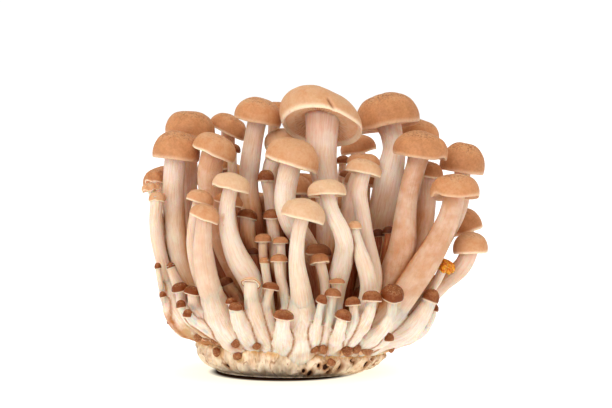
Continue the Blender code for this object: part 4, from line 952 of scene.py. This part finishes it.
class Stem:
    """A mushroom's stem: its line, the surface round it, and the values its surface needs."""

    def __init__(self, number, cap, path):
        self.cap = cap
        self.chance = chance_for("stem_" + cap.row.name)
        top, self.top = path[-1]
        has_node = "cap_" + cap.row.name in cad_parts
        end = top + cap.axis * STEM_TUCK if has_node else cap.point(0, 0, SMALL_STEM_TUCK)
        self.places, self.radii, self.marks = resampled(path + [(end, self.top)], STEM_STEP)
        self.side, self.front = frames_along(self.places)
        self.shift = number * GRAIN_SHIFT
        self.tan = STEM_TONES.get(cap.row.name, self.chance.uniform(*COMMON_STEM_TONE))

    def grid(self):
        turns = angles(max(LEAST_STEM_SIDES, round(math.tau * self.radii.mean() / STEM_SIDE)))
        grain = self.grain(turns)
        swell = ripples(grain * STEM_SWELL_WAY, STEM_SWELL_SIZE, self.chance) * STEM_SWELL
        ridge = ripples(grain * STEM_RIDGE_WAY, STEM_RIDGE_SIZE, self.chance) * STEM_RIDGE
        from_top = (self.marks[-1] - self.marks)[:, None]
        neck = 1 + NECK_FLARE * np.exp(-from_top / NECK_LENGTH)
        radii = (self.radii[:, None] * (1 + swell) + ridge) * neck
        hang = COLLARS.get(self.cap.row.name, 0)
        edge = hang * sum((size * np.sin(turns * count + start) for count, start, size in COLLAR_WAVES), 1)
        peel = smooth_step(*COLLAR_EDGE, from_top - edge) if hang else np.zeros_like(radii)
        radii = radii + peel * COLLAR_THICKNESS
        out = spokes(turns, self.side[:, None], self.front[:, None])
        return self.places[:, None] + out * radii[..., None], turns, peel

    def grain(self, turns):
        """Places in the stem's own straightened frame, for its fibres."""
        radius = self.radii.mean()
        grain = np.empty((len(self.marks), len(turns), 3))
        grain[..., :2] = np.stack([np.cos(turns) * radius, np.sin(turns) * radius], axis=-1)
        grain[..., 2] = self.marks[:, None] + self.shift
        return grain


def distances(points, places, radii):
    """How far each point is from the surface of each ball round these places."""
    points, places = points.astype(np.float32), places.astype(np.float32)
    squares = (points ** 2).sum(axis=1)[:, None] + (places ** 2).sum(axis=1) - 2 * points @ places.T
    return np.sqrt(np.maximum(squares, 0)) - radii.astype(np.float32)


def clearance(grid, own, stems):
    """How far each point of a grid is from the nearest other stem's surface."""
    points = grid.reshape(-1, 3)
    low, high = points.min(axis=0) - NEIGHBOUR_REACH, points.max(axis=0) + NEIGHBOUR_REACH
    places = np.concatenate([stem.places for stem in stems if stem is not own])
    radii = np.concatenate([stem.radii for stem in stems if stem is not own])
    near = ((places > low) & (places < high)).all(axis=1)
    return distances(points, places[near], radii[near]).min(axis=1).reshape(grid.shape[:2])


def add_stem(sculpt, stem, stems, cover):
    grid, turns, peel = stem.grid()
    # Near other stems: brown crease colour, partly real staining and partly painted shade.
    near = smooth_step(*STEM_CREASE, clearance(grid, stem, stems))
    # One value sets the painted shade of stems deep in the cluster.
    sculpt.add(grid, grain=stem.grain(turns), crease=near * CREASE_SHARE, peel=peel,
               inner=cover.over(grid) * IN_VIEW.get(stem.cap.row.name, 1),
               olive=olive_at(grid), tan=stem.tan * smooth_step(*TAN_HEIGHTS, grid[..., 2]))


class Cover:
    """How much stems hide each place from outside, from a coarse grid of how full of stems the space is: the
    mask of the painted shade deep in the cluster.
    """

    def __init__(self, stems):
        self.filled = np.zeros(COVER_CELLS)
        for stem in stems:
            share = math.pi * stem.radii ** 2 * np.gradient(stem.marks) / COVER_CELL ** 3
            np.add.at(self.filled, self.cells(stem.places), share)
        for axis in (0, 1, 2) * COVER_BLURS:
            before, after = np.roll(self.filled, 1, axis), np.roll(self.filled, -1, axis)
            self.filled = (before + 2 * self.filled + after) / 4

    def cells(self, points):
        index = ((points - COVER_CORNER) / COVER_CELL).astype(int)
        return tuple(np.clip(index, 0, np.array(COVER_CELLS) - 1).T)

    def over(self, points):
        """0 where a point looks out freely, 1 where stems stand all before it: how much painted shade it
        gets.
        """
        flat = points.reshape(-1, 3)
        outward = flat * COVER_WAY
        outward /= np.maximum(np.linalg.norm(outward, axis=1, keepdims=True), 1)
        aside = np.stack([-outward[:, 1], outward[:, 0], 0 * outward[:, 0]], axis=1)
        total = np.zeros(len(flat))
        for lean in COVER_LEANS:
            way = outward + lean * aside + (0, 0, COVER_LIFT)
            for reach in np.arange(*COVER_LOOK, COVER_CELL):
                total += self.filled[self.cells(flat + way * reach)]
        hidden = 1 - np.exp(-total / len(COVER_LEANS) * COVER_CELL * COVER_DENSITY)
        low = smooth_step(*COVER_HEIGHTS, flat[:, 2])
        return (smooth_step(*COVER_RANGE, hidden) * low).reshape(points.shape[:-1])


def olive_at(points):
    """Where the feet are stained olive: low on the left."""
    away = np.linalg.norm((points - OLIVE_PLACE) / OLIVE_SIZE, axis=-1)
    return smooth_step(*OLIVE_EDGE, away)


def half_of(row):
    return "left" if row.cap[0] < MIDDLE_ACROSS else "right"


def stem_pieces(stems, cover, surface):
    """Every stem, in six pieces by where it stands."""
    groups = {}
    for stem in stems:
        row = stem.cap.row
        place = "front" if row.depth < FRONT_DEPTH else "middle" if row.depth < BACK_DEPTH else "back"
        groups.setdefault(f"stems_{place}_{half_of(row)}", []).append(stem)
    for name, members in groups.items():
        sculpt = Sculpt()
        for stem in members:
            add_stem(sculpt, stem, stems, cover)
        sculpt.piece(name, surface, "stem_flesh", "stem_mass")


def feet_blank(stems):
    """A bowl and the lowest lengths of the stems, each a little wider than itself, run into one skin."""
    sculpt = Sculpt()
    outline = along_curve(FOOT_PROFILE, FEET_RINGS)
    turns = angles(FEET_SIDES)
    across = outline[:, :1] * np.cos(turns)
    back = outline[:, 1:2] * np.sin(turns)
    sculpt.add(np.stack([across, back, ring_height(across) + outline[:, 2:]], axis=-1))
    for stem in stems:
        height = stem.places[:, 2] - ring_height(stem.places[:, 0])
        keep = height < FOOT_GROWTH[0][-1]
        radii = stem.radii[keep] * np.interp(height[keep], *FOOT_GROWTH)
        out = spokes(turns[::FEET_STRIDE], stem.side[keep, None], stem.front[keep, None])
        sculpt.add(stem.places[keep, None] + out * radii[:, None, None])
    piece = bpy.data.objects.new("feet", sculpt.mesh("feet"))
    bpy.context.scene.collection.objects.link(piece)
    remesh = piece.modifiers.new("skin", "REMESH")
    remesh.mode = "VOXEL"
    remesh.voxel_size = FEET_VOXEL * MM
    soften = piece.modifiers.new("soften", "SMOOTH")
    soften.factor = 0.5
    soften.iterations = FEET_SOFTENING
    mesh = bpy.data.meshes.new_from_object(piece.evaluated_get(bpy.context.evaluated_depsgraph_get()))
    piece.modifiers.clear()
    piece.data = mesh
    return piece


def vertex_values(mesh, key):
    values = np.empty(len(mesh.vertices) * 3)
    mesh.vertices.foreach_get(key, values)
    return values.reshape(-1, 3)


def feet_piece(stems, cover, surface):
    """The fused feet, their skin rippled along its fibres, browned in its creases partly as painted shade,
    stained round its pins, and darkened by painted shade deep in the cluster.
    """
    piece = feet_blank(stems)
    mesh = piece.data
    points = vertex_values(mesh, "co") / MM
    grain, crease, tan = feet_values(points, stems)
    chance = chance_for("feet")
    ridge = FEET_RIDGE * ripples(grain * FEET_RIDGE_WAY, FEET_RIDGE_SIZE, chance)
    swell = FEET_SWELL * ripples(points, FEET_SWELL_SIZE, chance)
    points += vertex_values(mesh, "normal") * (ridge + swell)[:, None]
    mesh.vertices.foreach_set("co", (points * MM).ravel())
    # The brown in the creases is partly painted shade; round the pins it is stain.
    crease = np.maximum(crease, PIN_STAIN * pin_stain(points))
    # Each point of the feet also gets its painted shade deep in the cluster.
    for label, values in (("grain", grain), ("crease", crease), ("inner", cover.over(points)),
                          ("peel", crease * 0), ("olive", olive_at(points)),
                          ("tan", tan * smooth_step(*TAN_HEIGHTS, points[:, 2]))):
        store(mesh, label, values)
    mesh.update()
    mesh.shade_smooth()
    placed(piece, surface, "stem_flesh", "stem_mass")


def feet_values(points, stems):
    """The fibre place, crease and tan at each point of the feet, from the stems nearest to it."""
    low = [stem.places[:, 2] < FEET_TOP for stem in stems]

    def gathered(values):
        return np.concatenate([value[keep] for value, keep in zip(values, low)])

    places, radii = gathered([stem.places for stem in stems]), gathered([stem.radii for stem in stems])
    sides, fronts = gathered([stem.side for stem in stems]), gathered([stem.front for stem in stems])
    marks = gathered([stem.marks + stem.shift for stem in stems])
    owners = gathered([index + 0 * stem.marks for index, stem in enumerate(stems)])
    tans = gathered([stem.tan + 0 * stem.marks for stem in stems])
    grain, crease, tan = [], [], []
    for part in np.array_split(points, max(1, len(points) // POINTS_AT_ONCE)):
        away = distances(part, places, radii)
        index = away.argmin(axis=1)
        nearest = away.min(axis=1)
        second = np.where(owners == owners[index][:, None], FAR_AWAY, away).min(axis=1)
        offset = part - places[index]
        grain.append(np.stack([(offset * sides[index]).sum(axis=1), (offset * fronts[index]).sum(axis=1),
                               marks[index]], axis=-1))
        crease.append(smooth_step(*FEET_CREASE, second - nearest) * smooth_step(*FEET_CREASE_REACH, nearest))
        tan.append(tans[index])
    return np.concatenate(grain), np.concatenate(crease), np.concatenate(tan)


def pin_stain(points):
    """How near each point is to one of the pins: stained round them."""
    pins = [*foot_pins(), *block_pins()]
    away = [np.linalg.norm(points - np.array(place), axis=-1) / width for place, _, width in pins]
    return smooth_step(*PIN_STAIN_REACH, np.min(away, axis=0))


def pin_grid(place, outward, width, chance):
    """A pin-sized mushroom: a short stalk with its root inside, and a round head that nods outward."""
    axis = np.array((outward + Vector((0, 0, PIN_LIFT))).normalized())
    side = np.cross(axis, (0, 0, 1.0))
    side /= np.linalg.norm(side)
    marks = along_curve(PIN_PROFILE, PIN_RINGS) * width
    turns = angles(PIN_SIDES)
    squash = sum((size * np.cos(count * turns + chance.uniform(0, PIN_TURN)) for count, size in PIN_WAVES), 1)
    out = spokes(turns, side, np.cross(axis, side))
    grid = np.array(place) + marks[:, :1, None] * axis + marks[:, 1:, None] * squash[:, None] * out
    grid += ripples(grid, width * PIN_DENT_SIZE, chance)[..., None] * PIN_DENT * width * axis
    return grid, smooth_step(*PIN_HEAD, marks[:, 0] / width)


def pin_at(across, back, rise, width):
    """(place, outward, width) of a pin this far above the ring."""
    outward = Vector((across, back, 0)).normalized()
    return Vector((across, back, ring_height(across) + rise)), outward, width


def foot_pins():
    """(place, outward, width) of the pins on the fused feet: listed in front, by rule behind."""
    chance = random.Random(SEED)
    spots = [(across, rise, width, -1) for across, rise, width in FOOT_PINS]
    for number in range(BACK_PINS):
        turn = math.pi * (number + 0.5) / BACK_PINS
        spots.append((PIN_REACH * math.cos(turn), chance.uniform(*BACK_PIN_RISE),
                      chance.uniform(*BACK_PIN_WIDTH), 1))
    for across, rise, width, way in spots:
        wide, deep = foot_reach(rise)
        yield pin_at(across, way * deep * math.sqrt(1 - (across / wide) ** 2), rise, width)


def foot_reach(rise):
    """How far the fused feet reach across and back, at this height above the ring."""
    for (*low_reach, low), (*high_reach, high) in zip(FOOT_PROFILE, FOOT_PROFILE[1:]):
        if rise <= high:
            return Vector(low_reach).lerp(Vector(high_reach), (rise - low) / (high - low))


def block_pins():
    """(place, outward, width) of the few pins low on the block's side."""
    for across, rise, width in BLOCK_PINS:
        yield pin_at(across, -math.sqrt(BLOCK_PROFILE[-2][0] ** 2 - across ** 2), rise, width)


def pin_pieces(surface):
    """The pins of the feet and those of the block, in a piece each."""
    chance = chance_for("pins")
    for name, pins, node in (("foot_pins", foot_pins(), "stem_mass"),
                             ("block_pins", block_pins(), "mycelium_block")):
        sculpt = Sculpt()
        for pin in pins:
            grid, head = pin_grid(*pin, chance)
            sculpt.add(grid, reach=0, under=(1 - head)[:, None], rim=0, valley=0,
                       tone=chance.uniform(*PIN_TONES), crackle=PIN_CRACKLE, scar=0, bleach=0, inner=0)
        sculpt.piece(name, surface, "cap_skin", node)


def block_pits(chance):
    """(angle, height, radius) of the block's pits: listed in front, by rule behind."""
    pits = [(math.tau - math.acos(across / PIT_REACH), up, size) for across, up, size in BLOCK_PITS]
    for _ in range(BACK_PITS):
        turn = chance.uniform(BACK_PIT_START, math.pi - BACK_PIT_START)
        pits.append((turn, chance.uniform(*BACK_PIT_RISE), chance.uniform(*BACK_PIT_SIZE)))
    return pits


def block_piece(surface):
    """The cut block: upright folds, pits, and a stained ring at its top."""
    chance = chance_for("block")
    marks = along_curve(((0, 0), *BLOCK_PROFILE), BLOCK_RINGS)[BLOCK_FIRST_RING:]
    turns = angles(BLOCK_SIDES)
    share = np.clip(marks[:, 1:], 0, 1)
    folded = np.empty((len(marks), BLOCK_SIDES, 3))
    folded[..., :2] = np.stack([np.cos(turns) * FOLD_REACH, np.sin(turns) * FOLD_REACH], axis=-1)
    folded[..., 2] = share * RING_HEIGHT * FOLD_UPRIGHT
    folded = folded + ripples(folded * (1, 1, 4), FOLD_TWIST_SIZE, chance)[..., None] * FOLD_TWIST
    wide = ripples(folded, WIDE_FOLD_SIZE, chance)
    narrow = 1 - np.abs(ripples(folded, NARROW_FOLD_SIZE, chance)) * FOLD_SHARPNESS
    fine = ripples(folded * (1, 1, 2), FINE_FOLD_SIZE, chance)
    strength = smooth_step(*FOLD_START, share) * (1 - FOLD_FADE * smooth_step(*FOLD_END, share))
    relief = WIDE_FOLD * wide + NARROW_FOLD * narrow + FINE_FOLD * fine
    reach = marks[:, :1] + strength * relief - BLOCK_INSET
    across = reach * np.cos(turns)
    grid = np.stack([across, reach * np.sin(turns), share * (ring_height(across) + BLOCK_OVERLAP)], axis=-1)
    pit, halo = np.zeros((2, *grid.shape[:2]))
    for turn, up, size in block_pits(chance):
        away = np.hypot((turns - turn) * PIT_REACH, (grid[..., 2] - up) * PIT_FLATTENING)
        pit = np.maximum(pit, np.exp(-(away / size) ** 4))
        halo = np.maximum(halo, np.exp(-(away / size / PIT_HALO_REACH) ** 2))
    inward = grid * (1, 1, 0)
    inward /= np.maximum(np.linalg.norm(inward, axis=-1, keepdims=True), 1)
    grid = grid - inward * (pit * PIT_DEPTH)[..., None]
    sculpt = Sculpt()
    sculpt.add(grid, share=share, pit=pit, halo=halo, fold=narrow, grain=folded, stain=pin_stain(grid))
    sculpt.piece("block", surface, "mycelium", "mycelium_block")


class Surface:
    """A material on a Principled shader, with short ways to add the nodes that feed it."""

    def __init__(self, name):
        self.made = bpy.data.materials.new(name)
        self.made.use_nodes = True
        self.tree = self.made.node_tree
        self.shader = self.tree.nodes["Principled BSDF"]
        self.colour = (1, 1, 1)

    def node(self, kind, inputs=(), **settings):
        made = self.tree.nodes.new(kind)
        for key, value in settings.items():
            setattr(made, key, value)
        for key, value in dict(inputs).items():
            self.feed(made.inputs[key], value)
        return made

    def feed(self, socket, value):
        """Link a socket to another, or set it."""
        if isinstance(value, bpy.types.NodeSocket):
            self.tree.links.new(value, socket)
        elif isinstance(value, tuple) and len(value) == 3 and len(socket.default_value) == 4:
            socket.default_value = (*value, 1)
        else:
            socket.default_value = value

    def number(self, label):
        return self.node("ShaderNodeAttribute", attribute_name=label).outputs["Fac"]

    def direction(self, label):
        return self.node("ShaderNodeAttribute", attribute_name=label).outputs["Vector"]

    def place(self, stretch=(1, 1, 1)):
        """Places on the object in millimetres, stretched along an axis."""
        return self.stretched(self.node("ShaderNodeTexCoord").outputs["Object"],
                              tuple(share / MM for share in stretch))

    def stretched(self, vector, stretch):
        return self.node("ShaderNodeMapping", {"Vector": vector, "Scale": stretch}).outputs["Vector"]

    def part_of(self, vector, axis):
        return self.node("ShaderNodeSeparateXYZ", {"Vector": vector}).outputs[axis]

    def noise(self, vector, scale, detail=3.0, rough=0.55):
        inputs = {"Vector": vector, "Scale": scale, "Detail": detail, "Roughness": rough}
        return self.node("ShaderNodeTexNoise", inputs).outputs["Fac"]

    def cells(self, vector, scale, feature):
        made = self.node("ShaderNodeTexVoronoi", {"Vector": vector, "Scale": scale}, feature=feature)
        return made.outputs["Distance"]

    def ramp(self, value, low, high, start=0.0, end=1.0):
        """A smooth change from start to end as the value goes from low to high."""
        inputs = {"Value": value, "From Min": low, "From Max": high, "To Min": start, "To Max": end}
        return self.node("ShaderNodeMapRange", inputs, interpolation_type="SMOOTHSTEP").outputs["Result"]

    def patches(self, vector, scale, low, high, start=0.0, end=1.0, detail=3.0):
        """Soft-edged patches of noise, from start to end."""
        return self.ramp(self.noise(vector, scale, detail), low, high, start, end)

    def times(self, *values):
        result = values[0]
        for value in values[1:]:
            result = self.sum(result, value, "MULTIPLY")
        return result

    def sum(self, first, second, operation="ADD"):
        return self.node("ShaderNodeMath", {0: first, 1: second}, operation=operation).outputs[0]

    def mix(self, share, first, second, blend="MIX"):
        inputs = {"Factor": share, 6: first, 7: second}
        return self.node("ShaderNodeMix", inputs, data_type="RGBA", blend_type=blend).outputs[2]

    def paint(self, share, colour, blend="MIX"):
        """Lay a share of a colour over what the surface has so far."""
        self.colour = self.mix(share, self.colour, colour, blend)

    def shades(self, value, *stops):
        """A colour that runs through (place, colour) stops as a value grows."""
        made = self.node("ShaderNodeValToRGB", {"Fac": value})
        ramp = made.color_ramp
        while len(ramp.elements) < len(stops):
            ramp.elements.new(0.5)
        for element, (place, colour) in zip(ramp.elements, stops):
            element.position = place
            element.color = (*colour, 1)
        return made.outputs["Color"]

    def bump(self, height, distance):
        made = self.node("ShaderNodeBump", {"Height": height, "Distance": distance * MM, "Strength": 1.0})
        self.set(Normal=made.outputs["Normal"])

    def set(self, **values):
        for key, value in values.items():
            self.feed(self.shader.inputs[key.replace("_", " ")], value)

    def finish(self, roughness, gloss, glow, tint, depth):
        """Set the colour, roughness and gloss, and how much, in what tint and how deep light sinks in."""
        self.set(Base_Color=self.colour, Roughness=roughness, Specular_IOR_Level=gloss,
                 Subsurface_Weight=glow, Subsurface_Radius=tint, Subsurface_Scale=depth * MM)
        return self.made


def cap_surface():
    """Satin brown skin, mottled and finely cracked on top, a cream rim, and pinkish gills underneath, with
    painted shade between the gills and on caps deep in the cluster.
    """
    skin = Surface("cap_skin")
    place = skin.place()
    reach = skin.number("reach")
    bleach = skin.number("bleach")
    cloud = skin.noise(place, 1.3, 5, 0.6)
    tone = skin.sum(skin.number("tone"), skin.patches(place, 0.3, 0.3, 0.7, -0.05, 0.06))
    tone = skin.sum(tone, skin.ramp(cloud, 0.3, 0.7, -0.05, 0.05))
    tone = skin.sum(tone, skin.ramp(reach, 0.7, 1.0, -0.02, 0.07))
    skin.colour = skin.shades(tone, (0.0, PALE_SKIN), (0.5, TAN_SKIN), (1.0, DARK_SKIN))
    freckled = skin.times(skin.number("crackle"), skin.ramp(reach, 0.98, 0.6),
                          skin.patches(place, 0.35, 0.25, 0.5, 0.25, 1.0, detail=2))
    pits = skin.times(skin.ramp(skin.cells(place, 1.05, "F1"), 0.46, 0.24),
                      skin.patches(place, 1.4, 0.42, 0.52, detail=2))
    cracks = skin.times(skin.ramp(skin.cells(place, 0.8, "DISTANCE_TO_EDGE"), 0.14, 0.02),
                        skin.ramp(cloud, 0.45, 0.6), 0.8)
    marks = skin.times(skin.sum(pits, cracks, "MAXIMUM"), freckled)
    flecks = skin.times(skin.patches(place, 3.0, 0.52, 0.66, detail=2), freckled)
    skin.paint(skin.times(flecks, 0.6), FLECK_COLOUR)
    skin.paint(skin.times(marks, 0.7), SPECK_COLOUR)
    # Darker along the pressed crease of the largest cap.
    skin.paint(skin.number("scar"), CREASE_DARK_COLOUR)
    rim = skin.times(skin.number("rim"), skin.patches(place, 0.9, 0.2, 0.5, 0.5, 1.0))
    skin.paint(rim, skin.mix(bleach, RIM_COLOUR, TORN_RIM))
    # Painted shade in the valleys between the gills.
    gill = skin.mix(skin.number("valley"), GILL_COLOUR, GILL_PAINTED_SHADE)
    gill = skin.mix(skin.patches(place, 0.8, 0.3, 0.7, 0.0, 0.4), gill, GILL_BLOOM)
    skin.paint(skin.number("under"), skin.mix(bleach, gill, GILL_WHITE))
    # Painted shade: caps deep in the cluster are darkened.
    skin.paint(1.0, skin.shades(skin.number("inner"), (0.0, WHITE), (1.0, SKIN_PAINTED_SHADE)), "MULTIPLY")
    skin.bump(skin.sum(skin.times(skin.noise(place, 4.5, 4, 0.6), 0.25), skin.times(marks, -0.6)), 0.3)
    return skin.finish(skin.ramp(cloud, 0.3, 0.7, 0.44, 0.58), 0.25, 0.35, (1.0, 0.4, 0.18), 1.6)


def amber_surface():
    """Shrivelled skin gone orange and half clear, darker in its wrinkles."""
    skin = Surface("amber_skin")
    place = skin.place()
    wrinkles = skin.noise(place, 0.9, 4, 0.65)
    folds = skin.ramp(skin.cells(place, 0.7, "DISTANCE_TO_EDGE"), 0.0, 0.3)
    light = skin.ramp(skin.sum(wrinkles, skin.times(folds, 0.2)), 0.45, 0.68)
    skin.colour = skin.mix(light, AMBER_DEEP, AMBER_PALE)
    skin.bump(skin.sum(wrinkles, folds), 0.5)
    return skin.finish(0.35, 0.3, 0.5, (1.0, 0.35, 0.08), 1.5)


def stem_surface():
    """Cream flesh with long fine fibres, faint warm stains, brown creases where stems meet that are partly
    painted shade, and painted shade deep in the cluster.
    """
    flesh = Surface("stem_flesh")
    place = flesh.place()
    grain = flesh.direction("grain")
    fibres = flesh.noise(flesh.stretched(grain, (1, 1, 0.07)), 2.3, 5, 0.6)
    flesh.colour = flesh.shades(flesh.times(flesh.part_of(place, "Z"), 0.01),
                                (0.16, FOOT_PALE), (0.3, STEM_CREAM), (0.64, STEM_PALE))
    warmth = flesh.patches(place, 0.12, 0.42, 0.7, 0, 0.35)
    flesh.paint(flesh.sum(flesh.ramp(fibres, 0.42, 0.62, 0, 0.42), warmth), STEM_WARM)
    flesh.paint(flesh.times(flesh.number("tan"), flesh.patches(place, 0.2, 0.3, 0.7, 0.6, 1.2)), STEM_TAN)
    # Painted shade: stems deep in the cluster are darkened, warmer in half shade.
    inner = flesh.times(flesh.number("inner"), flesh.ramp(fibres, 0.3, 0.7, 0.85, 1.0))
    flesh.paint(1.0, flesh.shades(inner, (0.0, WHITE), (0.5, STEM_SHADED), (1.0, STEM_PAINTED_SHADE)), "MULTIPLY")
    spots = flesh.times(flesh.patches(flesh.stretched(grain, (1, 1, 0.12)), 0.7, 0.58, 0.76),
                        flesh.patches(place, 0.33, 0.5, 0.64))
    flesh.paint(flesh.times(spots, 0.6), STEM_STAIN)
    olive = flesh.times(flesh.number("olive"), flesh.patches(place, 0.35, 0.3, 0.55, 0.25, 0.8))
    flesh.paint(olive, OLIVE_STAIN)
    # Brown where stems meet: partly real staining, partly painted shade in the narrow gaps.
    crease = flesh.times(flesh.number("crease"), flesh.patches(place, 0.5, 0.3, 0.6, 0.6, 1.0))
    flesh.paint(crease, CREASE_STAIN_AND_SHADE)
    flesh.paint(flesh.times(flesh.number("peel"), flesh.ramp(fibres, 0.35, 0.65, 0.35, 0.95)), PEEL_COLOUR)
    flesh.bump(flesh.sum(fibres, flesh.times(flesh.noise(grain, 3.5, 3), 0.3)), 0.42)
    return flesh.finish(0.55, 0.2, 0.75, (1.0, 0.42, 0.2), 3)


def block_surface():
    """Cream mycelium, darker along its sharp folds and browned along the ring at its top, with near black
    pits.
    """
    block = Surface("mycelium")
    place = block.place()
    cloud = block.noise(place, 0.25, 4)
    lines = block.noise(block.stretched(block.direction("grain"), (1, 1, 0.4)), 1.0, 6, 0.7)
    block.colour = block.mix(block.ramp(cloud, 0.4, 0.75), BLOCK_CREAM, BLOCK_TAN)
    right = block.ramp(block.part_of(place, "X"), -8, 22, 0.15, 1.0)
    threads = block.ramp(block.sum(block.sum(lines, 0.5, "SUBTRACT"), 0, "ABSOLUTE"), 0.028, 0.0)
    threads = block.times(threads, block.ramp(cloud, 0.4, 0.62, 0.1, 0.7))
    block.paint(block.times(threads, right), BLOCK_CREASE)
    # Darker along the sharp upright folds.
    block.paint(block.ramp(block.number("fold"), 0.8, 1.0, 0, 0.75), BLOCK_CREASE)
    # Browner towards the right.
    block.paint(block.times(right, block.ramp(cloud, 0.35, 0.65), 0.42), BLOCK_RIGHT_BROWN)
    height = block.sum(block.number("share"), block.ramp(lines, 0.3, 0.7, -0.06, 0.06))
    ring = block.times(block.ramp(height, 0.74, 0.9), block.patches(place, 0.25, 0.35, 0.55, 0.45, 1))
    block.paint(ring, RING_STAIN)
    specks = block.ramp(block.cells(place, 0.55, "F1"), 0.3, 0.16)
    block.paint(block.times(specks, block.ramp(cloud, 0.5, 0.6), right, 0.85), PIT_COLOUR)
    block.paint(block.times(block.number("stain"), 0.8), RING_STAIN)
    block.paint(block.ramp(block.number("halo"), 0.1, 0.8, 0, 0.85), PIT_HALO)
    block.paint(block.ramp(block.number("pit"), 0.3, 0.75), PIT_COLOUR)
    block.bump(block.sum(lines, block.times(threads, -0.35)), 0.6)
    return block.finish(0.75, 0.25, 0.2, (1.0, 0.45, 0.22), 1.5)


def floor_surface():
    """A floor that glows white, with a painted contact shadow where the block stands on it, a little painted
    soft shadow round that, and painted warm light near the block.
    """
    floor = Surface("floor")
    place = floor.place(FLOOR_STRETCH)
    shifted = floor.node("ShaderNodeVectorMath", {0: place, 1: FLOOR_SHIFT}).outputs["Vector"]
    away = floor.node("ShaderNodeVectorMath", {0: shifted}, operation="LENGTH").outputs["Value"]
    # Painted contact shadow under the block, painted soft shadow round it, and painted warm light near it.
    painted_contact_shadow = floor.ramp(away, *FLOOR_CONTACT_SHADOW)
    wide = floor.ramp(away, *FLOOR_SHADE, FLOOR_DIM, 1)
    floor.set(Base_Color=floor.mix(painted_contact_shadow, FLOOR_SHADOW_DARK, FLOOR_GREY), Roughness=0.9, Specular_IOR_Level=0.0,
              Emission_Color=floor.mix(floor.ramp(away, *FLOOR_SHADE), FLOOR_PAINTED_WARM_LIGHT, WHITE),
              Emission_Strength=floor.times(painted_contact_shadow, wide, FLOOR_GLOW))
    return floor.made


def make_floor():
    mesh = bpy.data.meshes.new("floor")
    corners = [(x * FLOOR_HALF, y * FLOOR_HALF, 0) for x, y in ((-1, -1), (1, -1), (1, 1), (-1, 1))]
    mesh.from_pydata(corners, [], [(0, 1, 2, 3)])
    floor = bpy.data.objects.new("floor", mesh)
    mesh.materials.append(floor_surface())
    bpy.context.scene.collection.objects.link(floor)


def aim(thing, place, target):
    """Put a lamp or the camera at a place, in metres, looking at a target."""
    thing.location = place
    thing.rotation_euler = (Vector(target) - Vector(place)).to_track_quat("-Z", "Y").to_euler()
    bpy.context.scene.collection.objects.link(thing)


def make_lights():
    """A broad soft sun from the upper left in front, and a studio: white to see, warmer to light by."""
    lamp = bpy.data.lights.new("key", "SUN")
    lamp.energy = KEY_STRENGTH
    lamp.angle = math.radians(KEY_SOFTNESS)
    aim(bpy.data.objects.new("key", lamp), KEY_PLACE, (0, 0, 0))
    world = bpy.data.worlds.new("studio")
    world.use_nodes = True
    tree = world.node_tree
    lit = tree.nodes["Background"]
    seen = tree.nodes.new("ShaderNodeBackground")
    for back, colour, strength in ((lit, ROOM_WARM, ROOM_LIGHT), (seen, WHITE, ROOM_WHITE)):
        back.inputs["Color"].default_value = (*colour, 1)
        back.inputs["Strength"].default_value = strength
    chosen = tree.nodes.new("ShaderNodeMixShader")
    tree.links.new(tree.nodes.new("ShaderNodeLightPath").outputs["Is Camera Ray"], chosen.inputs["Fac"])
    tree.links.new(lit.outputs[0], chosen.inputs[1])
    tree.links.new(seen.outputs[0], chosen.inputs[2])
    tree.links.new(chosen.outputs[0], tree.nodes["World Output"].inputs["Surface"])
    bpy.context.scene.world = world
    bpy.context.scene.view_settings.view_transform = "Standard"


def make_camera():
    camera = bpy.data.cameras.new("camera")
    camera.sensor_width = SENSOR
    camera.lens = SENSOR * EYE_DISTANCE / VIEW_ACROSS
    camera.clip_start, camera.clip_end = CLIP
    thing = bpy.data.objects.new("camera", camera)
    eye = Vector((EYE_ACROSS, -EYE_DISTANCE, EYE_HEIGHT)) * MM
    aim(thing, eye, Vector((AIM_ACROSS, 0, AIM_UP)) * MM)
    bpy.context.scene.camera = thing


def make_pieces():
    skin, amber, flesh, mycelium = cap_surface(), amber_surface(), stem_surface(), block_surface()
    caps = settled([*FRONT, *back_mushrooms()])
    stems = [Stem(number, cap, bent_clear(stem_path(cap), cap, caps)) for number, cap in enumerate(caps)]
    cover = Cover(stems)
    small = {"left": Sculpt(), "right": Sculpt()}
    for cap, stem in zip(caps, stems):
        name, node = cap.row.name, "cap_" + cap.row.name
        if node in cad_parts:
            sculpt = Sculpt()
            add_cap(sculpt, cap, stem.top, cover)
            sculpt.piece("skin_" + node, amber if name == "amber" else skin, "cap_skin", node)
        elif name == "amber_chip":
            sculpt = Sculpt()
            add_cap(sculpt, cap, stem.top * SMALL_SOCKET, cover)
            sculpt.piece(name, amber, "cap_skin", "stem_mass")
        else:
            add_cap(small[half_of(cap.row)], cap, stem.top * SMALL_SOCKET, cover)
    for side, sculpt in small.items():
        sculpt.piece("small_caps_" + side, skin, "cap_skin", "stem_mass")
    stem_pieces(stems, cover, flesh)
    feet_piece(stems, cover, flesh)
    pin_pieces(skin)
    block_piece(mycelium)


make_pieces()
make_floor()
make_lights()
make_camera()
